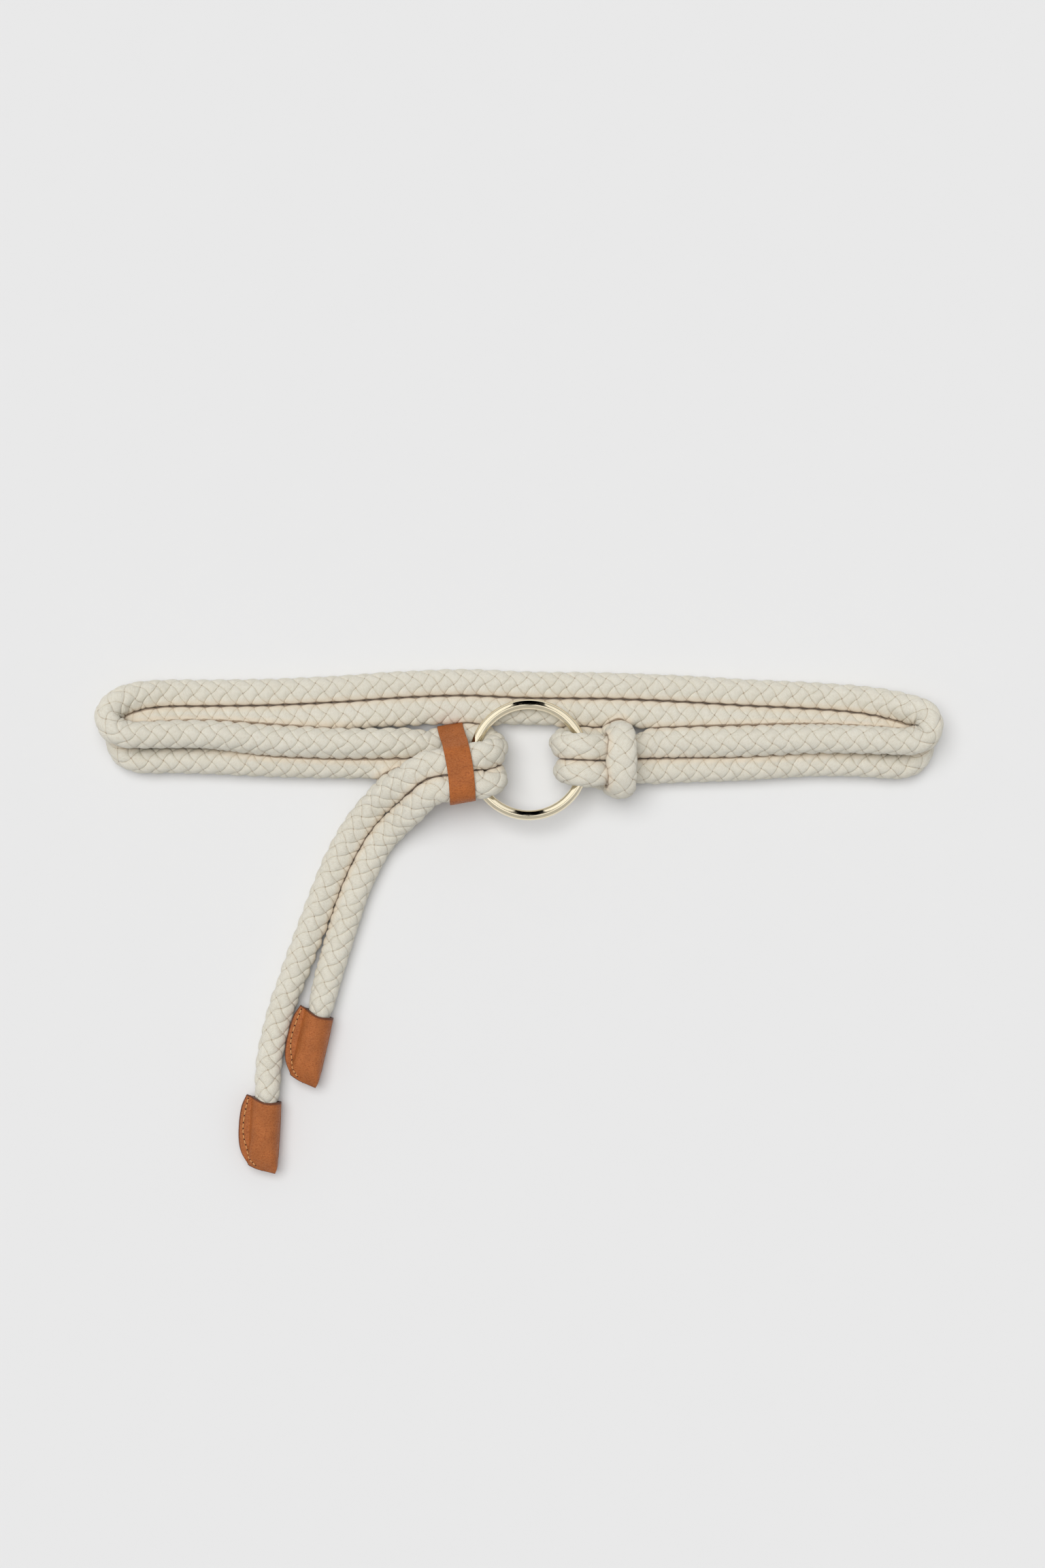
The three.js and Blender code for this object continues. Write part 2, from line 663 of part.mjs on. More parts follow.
function tail(letter, route, end) {
  const group = new THREE.Group();
  const name = `tail_${letter}`;
  group.add(piece(`${name}_cover`, tailCover(route), COTTON));
  group.add(piece(`${name}_core`, tailCore(route), FILLER));
  const tip = new THREE.Group();
  tip.position.set(...end.at, TIP_Z);
  tip.rotation.z = end.turn;
  tip.add(piece(`${name}_end_tape`, endTape(), TAPE_BUFF));
  tip.add(piece(`${name}_tip`, tipLeather(), TAN));
  tip.add(piece(`${name}_tip_thread`, tipThread(), THREAD_ORANGE));
  group.add(tip);
  return group;
}

function keeper() {
  const group = new THREE.Group();
  group.add(piece('keeper_band', keeperBand(), TAN));
  group.add(piece('keeper_thread', keeperThread(), THREAD_ORANGE));
  group.position.set(KEEPER_AT[0], KEEPER_AT[1], 0);
  group.rotation.z = KEEPER_TURN;
  return group;
}

const belt = new THREE.Group();
belt.add(piece('waist_rope_cover', waistCover(), COTTON));
belt.add(piece('waist_rope_core', waistCore(), FILLER));
const ringPiece = piece('ring', ring(), GOLD);
ringPiece.position.z = RING_Z;
belt.add(ringPiece);
belt.add(keeper());
belt.add(tail('a', TAIL_A_ROUTE, END_A));
belt.add(tail('b', TAIL_B_ROUTE, END_B));

// The origin goes to the middle of the footprint, on the surface.
const box = new THREE.Box3().setFromObject(belt, true);
const middle = box.getCenter(new THREE.Vector3());
belt.position.set(-middle.x, -middle.y, -box.min.z);

const assembly = new THREE.Group();
assembly.add(belt);

export default assembly;
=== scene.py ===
"""A braided rope waist belt with a metal ring, a leather keeper and leather end tips.

Lengths are metres. +X runs along the folded belt and +Z is up.
"""

import math

import bmesh
import bpy
import numpy as np
from bpy.props import FloatProperty, FloatVectorProperty, IntProperty, PointerProperty
from mathutils import Matrix, Vector


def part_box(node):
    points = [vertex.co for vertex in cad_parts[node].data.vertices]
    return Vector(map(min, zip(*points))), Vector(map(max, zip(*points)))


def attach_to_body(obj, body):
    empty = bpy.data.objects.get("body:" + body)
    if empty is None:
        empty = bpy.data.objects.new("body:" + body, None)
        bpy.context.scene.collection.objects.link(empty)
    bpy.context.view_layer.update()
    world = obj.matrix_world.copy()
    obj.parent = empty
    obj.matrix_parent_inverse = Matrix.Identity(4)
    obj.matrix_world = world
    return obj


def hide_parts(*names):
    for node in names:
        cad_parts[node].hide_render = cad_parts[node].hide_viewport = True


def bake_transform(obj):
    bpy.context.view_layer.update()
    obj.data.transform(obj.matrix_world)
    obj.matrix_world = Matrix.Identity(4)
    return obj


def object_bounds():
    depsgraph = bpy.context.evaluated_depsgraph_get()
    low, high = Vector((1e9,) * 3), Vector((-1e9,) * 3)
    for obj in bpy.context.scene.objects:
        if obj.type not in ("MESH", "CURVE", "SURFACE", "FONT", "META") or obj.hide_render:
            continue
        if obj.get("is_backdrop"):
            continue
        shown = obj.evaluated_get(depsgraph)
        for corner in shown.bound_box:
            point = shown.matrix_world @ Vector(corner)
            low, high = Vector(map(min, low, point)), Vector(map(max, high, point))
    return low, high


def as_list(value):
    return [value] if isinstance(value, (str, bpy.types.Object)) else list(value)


bl_info = {
    "name": "Braided rope belt",
    "version": (1, 0, 0),
    "blender": (4, 5, 0),
    "location": "View3D > Sidebar > Rope Belt",
    "description": "Plaits the rope and dresses the ring, keeper and tips of a rope belt",
    "category": "Add Mesh",
}

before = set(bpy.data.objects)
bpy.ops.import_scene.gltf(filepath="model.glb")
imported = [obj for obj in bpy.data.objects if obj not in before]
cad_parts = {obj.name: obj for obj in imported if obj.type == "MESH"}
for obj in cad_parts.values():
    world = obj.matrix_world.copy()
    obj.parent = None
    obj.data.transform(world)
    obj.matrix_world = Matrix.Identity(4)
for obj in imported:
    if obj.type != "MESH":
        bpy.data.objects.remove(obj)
CAD_BOX = [list(corner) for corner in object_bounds()]


def middle_of(node):
    """The middle of a CAD node's box."""
    low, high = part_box(node)
    return (Vector(low) + Vector(high)) / 2


# ---- Sizes that the rope's route is worked out from, as in the part's source ----

GAP = 0.0003
SLIDE_GAP = 0.0005
ROPE_D = 0.013
CORE_D = 0.007
WIRE_D = 0.005
LEATHER = 0.0012
RING_OUTER_D = 0.060
TIP_GRIP = 0.025
TIP_SQUEEZE = 0.8
TAPE = 0.0004

ROPE_R = ROPE_D / 2
WIRE_R = WIRE_D / 2
RING_R = RING_OUTER_D / 2 - WIRE_R
LIE_Z = ROPE_R
SOLE_Z = LEATHER + SLIDE_GAP + ROPE_R
RING_Z = SOLE_Z + ROPE_R + GAP + WIRE_R
WIRE_GAP = 2 * GAP
OVER_Z = RING_Z + WIRE_R + WIRE_GAP + ROPE_R
TIP_Z = TIP_SQUEEZE * ROPE_R + 2 * GAP + TAPE + LEATHER

KEEPER_LENGTH = 0.013
KEEPER_AT = (-(RING_OUTER_D + KEEPER_LENGTH) / 2 + 0.0003, -0.0005)
KEEPER_TURN = math.radians(10)
BELOW_A = 0.0104
BELOW_B = BELOW_A - ROPE_D - GAP
TAIL_A = 0.0005
TAIL_B = TAIL_A - ROPE_D - 2 * GAP
MOUTH_NEAR = KEEPER_LENGTH / 2
MOUTH_FAR = MOUTH_NEAR + 0.006

PIVOT_A = (-0.1005, -0.0610, LIE_Z, 1)
PIVOT_B = (-0.0845, -0.0615, LIE_Z, 1)
END_A = ((-0.1322, -0.1950), math.radians(-3.5))
END_B = ((-0.1102, -0.1515), math.radians(-13))

# The route is given about the ring's centre on the surface; the frame's origin is elsewhere.
RING_AT = middle_of("ring")
RING_FOOT = Vector((RING_AT.x, RING_AT.y, 0))


def in_keeper(along, across, z, squeeze=1):
    """A point in the keeper, from its place along the belt and across it."""
    c, s = math.cos(KEEPER_TURN), math.sin(KEEPER_TURN)
    return (
        KEEPER_AT[0] + along * c - across * s,
        KEEPER_AT[1] + along * s + across * c,
        z,
        squeeze,
    )


def round_wire(side, y, turn, squeeze=1):
    """A point round the ring's wire. Turn 90 is over the wire, 0 inside the ring, -90 under it."""
    angle = math.radians(turn)
    reach = WIRE_R + WIRE_GAP + squeeze * ROPE_R
    from_centre = RING_R - reach * math.cos(angle)
    return (
        side * math.sqrt(from_centre**2 - y**2),
        y,
        RING_Z + reach * math.sin(angle),
        squeeze,
    )


def in_tip(end, depth, squeeze=TIP_SQUEEZE):
    """A point inside a tip, from its distance to the rope's cut end."""
    (x, y), turn = end
    return (x - depth * math.sin(turn), y + depth * math.cos(turn), TIP_Z, squeeze)


# ---- The rope's route: x, y, z and the rope's local diameter as a share of ROPE_D ----

TAIL_A_ROUTE = [
    PIVOT_A,
    (-0.1080, -0.0810, LIE_Z, 1),
    (-0.1175, -0.1070, LIE_Z, 1),
    (-0.1248, -0.1290, LIE_Z, 1),
    (-0.1294, -0.1500, LIE_Z + 0.0001, 1),
    in_tip(END_A, TIP_GRIP + 0.0060, 0.96),
    in_tip(END_A, TIP_GRIP - 0.0010),
    in_tip(END_A, TIP_GRIP / 2),
    in_tip(END_A, 0),
]
TAIL_B_ROUTE = [
    PIVOT_B,
    (-0.0910, -0.0800, LIE_Z, 1),
    (-0.0960, -0.0960, LIE_Z, 1),
    (-0.1002, -0.1100, LIE_Z + 0.0001, 1),
    in_tip(END_B, TIP_GRIP + 0.0060, 0.96),
    in_tip(END_B, TIP_GRIP - 0.0010),
    in_tip(END_B, TIP_GRIP / 2),
    in_tip(END_B, 0),
]
WAIST_ROUTE = [
    # tail A, from its joint to the ring
    PIVOT_A,
    (-0.0940, -0.0465, 0.0066, 1),
    (-0.0865, -0.0335, 0.0070, 1),
    (-0.0780, -0.0227, 0.0088, 1),
    (-0.0695, -0.0150, 0.0142, 1),
    (-0.0605, -0.0088, 0.0206, 1),
    in_keeper(-MOUTH_FAR - 0.0060, TAIL_A - 0.0010, OVER_Z - 0.0032),
    in_keeper(-MOUTH_FAR, TAIL_A, OVER_Z - 0.0018),
    in_keeper(-MOUTH_NEAR, TAIL_A, OVER_Z - 0.0008),
    in_keeper(MOUTH_NEAR, TAIL_A, OVER_Z),
    round_wire(-1, 0.0022, 80),
    round_wire(-1, 0.0034, 40),
    round_wire(-1, 0.0056, 0),
    round_wire(-1, 0.0082, -45),
    round_wire(-1, 0.0100, -85),
    # strand A, front, out to the left end
    in_keeper(MOUTH_NEAR, BELOW_A, SOLE_Z),
    in_keeper(-MOUTH_NEAR, BELOW_A, SOLE_Z),
    in_keeper(-MOUTH_FAR, BELOW_A, SOLE_Z + 0.0005),
    (-0.0600, 0.0084, 0.0105, 1),
    (-0.0735, 0.0085, 0.0138, 1),
    (-0.0935, 0.0084, 0.0146, 1),
    (-0.1270, 0.0096, 0.0150, 1),
    (-0.1610, 0.0123, 0.0178, 1),
    (-0.1810, 0.0124, 0.0186, 1),
    (-0.1920, 0.0122, 0.0194, 1),
    (-0.2005, 0.0128, 0.0200, 1),
    (-0.2064, 0.0160, 0.0196, 1),
    (-0.2086, 0.0218, 0.0180, 1),
    (-0.2046, 0.0282, 0.0150, 1),
    (-0.1965, 0.0318, 0.0112, 1),
    (-0.1830, 0.0333, 0.0073, 1),
    # strand A, back, to the right end
    (-0.1610, 0.0334, LIE_Z + 0.0001, 1),
    (-0.1270, 0.0339, LIE_Z, 1),
    (-0.0935, 0.0355, LIE_Z, 1),
    (-0.0600, 0.0378, LIE_Z, 1),
    (-0.0300, 0.0386, LIE_Z, 1),
    (-0.0005, 0.0374, LIE_Z, 1),
    (0.0345, 0.0370, LIE_Z, 1),
    (0.0750, 0.0356, LIE_Z, 1),
    (0.1085, 0.0336, LIE_Z, 1),
    (0.1425, 0.0320, LIE_Z + 0.0001, 1),
    (0.1660, 0.0302, 0.0072, 1),
    (0.1795, 0.0282, 0.0106, 1),
    (0.1886, 0.0258, 0.0148, 1),
    (0.1958, 0.0230, 0.0178, 1),
    (0.1984, 0.0173, 0.0196, 1),
    (0.1963, 0.0117, 0.0200, 1),
    (0.1900, 0.0091, 0.0198, 1),
    # strand A, front, in to the hitch
    (0.1760, 0.0094, 0.0188, 1),
    (0.1425, 0.0102, 0.0172, 1),
    (0.1085, 0.0092, 0.0142, 1),
    (0.0750, 0.0086, 0.0104, 1),
    (0.0615, 0.0080, 0.0096, 1),
    (0.0540, 0.0068, 0.0108, 0.84),
    (0.0460, 0.0046, 0.0140, 0.71),
    (0.0378, 0.0056, 0.0204, 0.82),
    round_wire(1, 0.0064, 118, 0.94),
    round_wire(1, 0.0068, 82, 0.95),
    round_wire(1, 0.0074, 45, 0.95),
    round_wire(1, 0.0083, 0, 0.95),
    round_wire(1, 0.0092, -45, 0.95),
    round_wire(1, 0.0098, -90, 0.9),
    # the bight that goes over both strands
    (0.0340, 0.0100, 0.0070, 0.8),
    (0.0396, 0.0109, 0.0074, 0.73),
    (0.0436, 0.0134, 0.0118, 0.71),
    (0.0454, 0.0142, 0.0170, 0.71),
    (0.0460, 0.0126, 0.0224, 0.71),
    (0.0462, 0.0074, 0.0268, 0.74),
    (0.0462, -0.0002, 0.0282, 0.76),
    (0.0462, -0.0080, 0.0268, 0.74),
    (0.0462, -0.0132, 0.0226, 0.71),
    (0.0454, -0.0148, 0.0170, 0.71),
    (0.0436, -0.0140, 0.0118, 0.71),
    (0.0396, -0.0112, 0.0074, 0.73),
    (0.0340, -0.0090, 0.0070, 0.8),
    # strand B, front, out to the right end
    round_wire(1, -0.0076, -90, 0.88),
    round_wire(1, -0.0064, -45, 0.88),
    round_wire(1, -0.0056, 0, 0.88),
    round_wire(1, -0.0062, 45, 0.9),
    round_wire(1, -0.0070, 82, 0.95),
    round_wire(1, -0.0072, 118, 0.94),
    (0.0378, -0.0064, 0.0204, 0.82),
    (0.0460, -0.0050, 0.0140, 0.71),
    (0.0540, -0.0058, 0.0104, 0.84),
    (0.0615, -0.0055, 0.0074, 1),
    (0.0750, -0.0048, LIE_Z + 0.0001, 1),
    (0.1085, -0.0036, LIE_Z, 1),
    (0.1425, -0.0016, LIE_Z, 1),
    (0.1660, -0.0019, LIE_Z, 1),
    (0.1800, -0.0028, LIE_Z, 1),
    (0.1890, -0.0020, LIE_Z, 1),
    (0.1946, 0.0030, LIE_Z, 1),
    (0.1946, 0.0104, LIE_Z, 1),
    (0.1886, 0.0148, LIE_Z, 1),
    # strand B, back, to the left end
    (0.1770, 0.0154, LIE_Z, 1),
    (0.1660, 0.0164, LIE_Z, 1),
    (0.1425, 0.0186, LIE_Z, 1),
    (0.1085, 0.0202, LIE_Z, 1),
    (0.0750, 0.0222, LIE_Z, 1),
    (0.0450, 0.0236, LIE_Z, 1),
    (-0.0005, 0.0240, LIE_Z, 1),
    (-0.0330, 0.0253, LIE_Z, 1),
    (-0.0600, 0.0244, LIE_Z, 1),
    (-0.0935, 0.0221, LIE_Z, 1),
    (-0.1270, 0.0205, LIE_Z, 1),
    (-0.1610, 0.0200, LIE_Z, 1),
    (-0.1845, 0.0198, LIE_Z, 1),
    (-0.1955, 0.0190, LIE_Z, 1),
    (-0.2026, 0.0150, LIE_Z, 1),
    (-0.2045, 0.0096, LIE_Z, 1),
    (-0.2020, 0.0038, LIE_Z, 1),
    (-0.1955, 0.0004, LIE_Z, 1),
    # strand B, front, in to the ring
    (-0.1780, 0.0000, LIE_Z, 1),
    (-0.1610, -0.0004, LIE_Z, 1),
    (-0.1270, -0.0019, LIE_Z, 1),
    (-0.0935, -0.0026, LIE_Z, 1),
    (-0.0735, -0.0028, LIE_Z, 1),
    (-0.0620, -0.0046, LIE_Z, 1),
    in_keeper(-MOUTH_FAR, BELOW_B, SOLE_Z),
    in_keeper(-MOUTH_NEAR, BELOW_B, SOLE_Z),
    in_keeper(MOUTH_NEAR - 0.0010, BELOW_B, SOLE_Z),
    round_wire(-1, -0.0044, -68, 0.95),
    round_wire(-1, -0.0070, -30, 0.9),
    round_wire(-1, -0.0092, 6, 0.88),
    round_wire(-1, -0.0112, 40, 0.9),
    round_wire(-1, -0.0128, 80, 0.96),
    # tail B, from the ring to its joint
    in_keeper(MOUTH_NEAR, TAIL_B, OVER_Z),
    in_keeper(-MOUTH_NEAR, TAIL_B, OVER_Z - 0.0008),
    in_keeper(-MOUTH_FAR, TAIL_B, OVER_Z - 0.0018),
    in_keeper(-MOUTH_FAR - 0.0060, TAIL_B - 0.0026, OVER_Z - 0.0054),
    (-0.0580, -0.0256, 0.0160, 1),
    (-0.0650, -0.0318, 0.0104, 1),
    (-0.0740, -0.0416, 0.0068, 1),
    PIVOT_B,
]


# ---- The rope's line ----

SAMPLES = 24  # to each stretch of the route


class Line:
    """A smooth line through a route's points, measured along its length."""

    def __init__(self, route):
        at, squeeze = [], []
        points = [Vector(p[:3]) for p in route]
        before = points[0] * 2 - points[1]
        after = points[-1] * 2 - points[-2]
        padded = [before] + points + [after]
        for i in range(len(points) - 1):
            for k in range(SAMPLES):
                t = k / SAMPLES
                at.append(between(padded[i:i + 4], t))
                squeeze.append(route[i][3] * (1 - t) + route[i + 1][3] * t)
        at.append(points[-1])
        squeeze.append(route[-1][3])
        self.at = np.array(at) + np.array(RING_FOOT)
        self.squeeze = np.array(squeeze)
        steps = np.linalg.norm(np.diff(self.at, axis=0), axis=1)
        self.s = np.concatenate([[0], np.cumsum(steps)])
        self.length = float(self.s[-1])
        along = np.gradient(self.at, self.s, axis=0)
        self.along = along / np.linalg.norm(along, axis=1)[:, None]
        self.up = self.carried_frames()

    def carried_frames(self):
        """A direction across the line, carried along it without twisting."""
        up = np.zeros_like(self.at)
        start = np.cross(self.along[0], (0, 0, 1))
        up[0] = start / np.linalg.norm(start)
        for i in range(1, len(up)):
            carried = up[i - 1] - self.along[i] * np.dot(up[i - 1], self.along[i])
            up[i] = carried / np.linalg.norm(carried)
        return up

    def sample(self, values, s):
        """Values along the line, read at each length s; past an end they stay as at the end."""
        if values.ndim == 1:
            return np.interp(s, self.s, values)
        return np.stack([np.interp(s, self.s, values[:, k]) for k in range(3)], axis=-1)

    def nearest(self, point):
        """The length along the line at which it passes a point."""
        return float(self.s[np.argmin(np.linalg.norm(self.at - np.array(point), axis=1))])

    def path(self, start, end, step=0.002):
        """Points along the line between two lengths."""
        count = max(2, int((end - start) / step))
        return self.sample(self.at, np.linspace(start, end, count))


def between(four, t):
    """A point on the centripetal curve through four points, between the middle two."""
    p0, p1, p2, p3 = four
    knots = [0]
    for a, b in ((p0, p1), (p1, p2), (p2, p3)):
        knots.append(knots[-1] + max((b - a).length, 1e-9) ** 0.5)
    k0, k1, k2, k3 = knots
    k = k1 + (k2 - k1) * t
    a1 = p0 * ((k1 - k) / (k1 - k0)) + p1 * ((k - k0) / (k1 - k0))
    a2 = p1 * ((k2 - k) / (k2 - k1)) + p2 * ((k - k1) / (k2 - k1))
    a3 = p2 * ((k3 - k) / (k3 - k2)) + p3 * ((k - k2) / (k3 - k2))
    b1 = a1 * ((k2 - k) / (k2 - k0)) + a2 * ((k - k0) / (k2 - k0))
    b2 = a2 * ((k3 - k) / (k3 - k1)) + a3 * ((k - k1) / (k3 - k1))
    return b1 * ((k2 - k) / (k2 - k1)) + b2 * ((k - k1) / (k2 - k1))


ROPE = Line(TAIL_A_ROUTE[::-1] + WAIST_ROUTE[1:] + TAIL_B_ROUTE[1:])

# ---- The plait ----
# Eight flat strands, four winding each way, each over one and under one. Where two cross, the
# upper one shows as a cell. Lattice steps p and q follow the two ways of winding: a strand of the
# first kind runs along p and one of the second kind along q.

WAYS = 4  # strands winding each way
COLUMNS = 2 * WAYS  # cells round the rope
STRAND_RATIO = 1.6  # length of a strand to a length of rope, as it winds
CELL_RUN = 0.0065  # length of strand to one unit of its UV map
SPARE_TURNS = 4  # beyond the line's ends, for the irregular corners
KEY_STRIDE = 10_000_000  # more than the vertices along any strand
SEED = 7

BORE_R = CORE_D / 2 + GAP
BORE_SIDES = 16
BORE_STEP = 0.003

CONTACT_STEP = 0.0015  # between the places that a rope is tested against
SAME_STRETCH = 1.6 * ROPE_D  # nearer along the line than this is the same stretch
CONTACT_SEARCH = 1.5 * ROPE_D
TOUCH_REACH = 0.0034
SWELL_FULL = 0.0026
SWELL_REACH = 0.0060


def belt():
    """The belt's settings on the scene."""
    return bpy.context.scene.rope_belt


def lattice(line, start, end, pitch):
    """The cells whose middles lie between two lengths of the line, as arrays of p and q."""
    step = pitch / COLUMNS
    cells = []
    for column in range(COLUMNS):
        first = math.ceil((start / step - 1 - column) / 2)
        last = math.ceil((end / step - 1 - column) / 2)
        cells += [(column + q, q) for q in range(first, last)]
    return np.array(cells)


def knots(count):
    """Places across a cell, closer together towards its edges."""
    return 0.5 - 0.5 * np.cos(np.pi * np.arange(count + 1) / count)


def cell_axes(cells, u, v):
    """Whether each cell's strand runs along p, and places across and along it from -1 to 1."""
    over_p = ((cells[:, 0] - cells[:, 1]) % 2 == 0)[:, None, None]
    across = np.where(over_p, 2 * v - 1, 2 * u - 1)
    along = np.where(over_p, 2 * u - 1, 2 * v - 1)
    return over_p, across, along


def uneven_corners(line, rng):
    """How far every corner of the lattice sits off its place, as in a real plait."""
    size = belt()
    rows = int((line.length / size.pitch + SPARE_TURNS) * COLUMNS)
    return rng.normal(0, size.unevenness, (rows, COLUMNS, 2))


def lattice_places(cells, u, v, axes, off):
    """The lattice's p and q over each cell, with its sides bowed and its corners moved."""
    over_p, across, along = axes
    bow = belt().bow
    # a cell's sides bow outwards and its ends, held by its neighbours' sides, inwards
    widen = bow * across * (1 - along**2)
    shorten = -bow * along * (1 - across**2)
    du = np.where(over_p, shorten, widen)
    dv = np.where(over_p, widen, shorten)

    def corner(dp, dq):
        p = cells[:, 0] + dp
        q = cells[:, 1] + dq
        return off[(p + q + COLUMNS) % len(off), (p - q) % COLUMNS]

    weights = [((1 - u) * (1 - v), 0, 0), (u * (1 - v), 1, 0), ((1 - u) * v, 0, 1), (u * v, 1, 1)]
    shift = sum(w[None, :, :, None] * corner(dp, dq)[:, None, None, :] for w, dp, dq in weights)
    p = cells[:, 0][:, None, None] + u + du + shift[..., 0]
    q = cells[:, 1][:, None, None] + v + dv + shift[..., 1]
    return p, q


def crown_height(cells, axes, rows, rng):
    """Height of the strand over its cell: about 1 at its crown and 0 in the grooves."""
    _, across, along = axes
    full = rng.normal(1, belt().unevenness, rows * COLUMNS)
    fullness = full[(cells[:, 0] * COLUMNS + cells[:, 1]) % len(full)][:, None, None]
    side = (1 - np.abs(across) ** 3.5) ** 0.6
    rise = (1 - np.abs(along) ** 2.2) ** 0.7
    return side * rise * np.clip(fullness, 0.7, 1.1)


def shared_vertices(cells, n):
    """Which vertices neighbouring cells share, found by their place in the lattice.

    Gives the first use of each vertex, every cell's grid of vertex numbers, and each vertex's
    steps from its cell's sides.
    """
    i, j = np.meshgrid(np.arange(n + 1), np.arange(n + 1), indexing="ij")
    ip = cells[:, 0][:, None, None] * n + i
    iq = cells[:, 1][:, None, None] * n + j
    turns = (ip - iq) // (COLUMNS * n)
    ip = ip - turns * WAYS * n
    iq = iq + turns * WAYS * n
    key = ip.astype(np.int64) * KEY_STRIDE + iq
    _, first, index = np.unique(key.ravel(), return_index=True, return_inverse=True)
    steps = (ip.ravel()[first] % n, iq.ravel()[first] % n)
    return first, index.reshape(key.shape), steps


def face_corners(values):
    """The values at the four corners of each face of every cell's grid."""
    around = [values[:, :-1, :-1], values[:, 1:, :-1], values[:, 1:, 1:], values[:, :-1, 1:]]
    return np.stack(around, axis=3)


def strand_map(cells, axes, p, q):
    """UV places: one unit for each strand's width, and the length along it."""
    over_p, across, _ = axes
    strand = np.where(over_p[:, 0, 0], cells[:, 1] % WAYS, WAYS + cells[:, 0] % WAYS)
    wide = (across + 1) / 2 + strand[:, None, None]
    run = np.where(over_p, p, q) * belt().pitch / COLUMNS * STRAND_RATIO
    return np.stack([wide, run / CELL_RUN], axis=-1)


def plait(name, line, start, end):
    """A closed sleeve of plaited strands along part of a line, with a bore for the filler."""
    size = belt()
    n = size.cell_steps
    cells = lattice(line, start, end, size.pitch)
    u, v = np.meshgrid(knots(n), knots(n), indexing="ij")
    axes = cell_axes(cells, u, v)
    rng = np.random.default_rng(SEED)
    off = uneven_corners(line, rng)
    p, q = lattice_places(cells, u, v, axes, off)
    theta = np.pi * (p - q) / WAYS
    s = (p + q) * size.pitch / COLUMNS

    height = crown_height(cells, axes, len(off), rng)
    radius = ROPE_R + size.proud - size.groove * (1 - height)
    touch, push = nearness(line, s, on_rope(line, s, theta, radius))
    place = on_rope(line, s, theta, radius + push)
    pit = np.abs(axes[1] * axes[2])

    first, index, steps = shared_vertices(cells, n)
    vertices = place.reshape(-1, 3)[first]
    quads = face_corners(index).reshape(-1, 4)
    inner, inner_faces = bore(line, start, end, vertices, quads, s.ravel()[first],
                              theta.ravel()[first])

    mesh = bpy.data.meshes.new(name)
    mesh.from_pydata(vertices.tolist() + inner, [], quads.tolist() + inner_faces)
    mesh.update()
    # depth, touch and pit are the masks of the cotton's painted shade: in the grooves, beside and where
    # other turns touch, and in the gaps where four strands meet.
    for layer, values in (("depth", height), ("touch", touch), ("pit", pit)):
        paint(mesh, layer, np.concatenate([values.ravel()[first], np.zeros(len(inner))]))
    tone = np.repeat(rng.normal(0.5, 0.2, len(cells)), n * n)
    paint(mesh, "tone", np.concatenate([tone, np.full(len(inner_faces), 0.5)]), "FACE")
    map_strands(mesh, face_corners(strand_map(cells, axes, p, q)).reshape(-1, 2))
    mark_grooves(mesh, *steps, len(vertices))
    obj = bpy.data.objects.new(name, mesh)
    bpy.context.scene.collection.objects.link(obj)
    return obj


def paint(mesh, name, values, domain="POINT"):
    """One number per vertex or face, for the materials."""
    layer = mesh.attributes.new(name, "FLOAT", domain)
    layer.data.foreach_set("value", np.asarray(values, "f4"))


def map_strands(mesh, corners):
    """The UV map of the strands; the bore, whose faces come last, stays at its origin."""
    layer = mesh.uv_layers.new(name="strands")
    everywhere = np.zeros((len(mesh.loops), 2), "f4")
    everywhere[: len(corners)] = corners
    layer.data.foreach_set("uv", everywhere.ravel())


def mark_grooves(mesh, ip, iq, outer):
    """The edges between cells stay sharp."""
    edges = np.zeros(len(mesh.edges) * 2, int)
    mesh.edges.foreach_get("vertices", edges)
    edges = edges.reshape(-1, 2)
    on_rope_wall = (edges < outer).all(axis=1)
    safe = np.minimum(edges, outer - 1)
    sharp = on_rope_wall & ((ip[safe] == 0).all(axis=1) | (iq[safe] == 0).all(axis=1))
    layer = mesh.attributes.new("sharp_edge", "BOOLEAN", "EDGE")
    layer.data.foreach_set("value", sharp)
    mesh.polygons.foreach_set("use_smooth", np.ones(len(mesh.polygons), bool))


def on_rope(line, s, theta, radius):
    """Points round the line, drawn in and flattened where the rope is pinched."""
    at = line.sample(line.at, s)
    along = line.sample(line.along, s)
    along /= np.linalg.norm(along, axis=-1)[..., None]
    up = line.sample(line.up, s)
    up -= along * np.sum(up * along, axis=-1)[..., None]
    up /= np.linalg.norm(up, axis=-1)[..., None]
    side = np.cross(along, up)
    offset = np.cos(theta)[..., None] * up + np.sin(theta)[..., None] * side
    offset = offset * (radius * line.sample(line.squeeze, s))[..., None]
    return at + spread(at, offset)


# The bight that crosses the hitch is squeezed flat against the strands below it.
# It is widened between two places to +X of the ring's centre, outside the oval of the strands.
BIGHT_FROM = 0.0395
BIGHT_TO = 0.053
BIGHT_SOFT = 0.003
BIGHT_SIDE = 0.020  # furthest from the ring's centre across the belt
BIGHT_SIDE_SOFT = 0.002
BIGHT_SPREAD = 1.42
OVAL_Z = 0.0155
OVAL_R = 0.0092
OVAL_FLATNESS = 1.1
OVAL_SOFT = 0.0025


def spread(at, offset):
    """Widens the bight along the belt, where its line runs across the belt."""
    x = at[..., 0] - RING_FOOT.x
    y = np.abs(at[..., 1] - RING_FOOT.y)
    z = at[..., 2]
    after = np.clip((x - BIGHT_FROM) / BIGHT_SOFT, 0, 1)
    before = np.clip((BIGHT_TO - x) / BIGHT_SOFT, 0, 1)
    from_middle = np.hypot(y, (z - OVAL_Z) * OVAL_FLATNESS)
    outside = np.clip((from_middle - OVAL_R) / OVAL_SOFT, 0, 1)
    share = after * before * outside * np.clip((BIGHT_SIDE - y) / BIGHT_SIDE_SOFT, 0, 1)
    wide = offset.copy()
    wide[..., 0] *= 1 + (BIGHT_SPREAD - 1) * share
    return wide


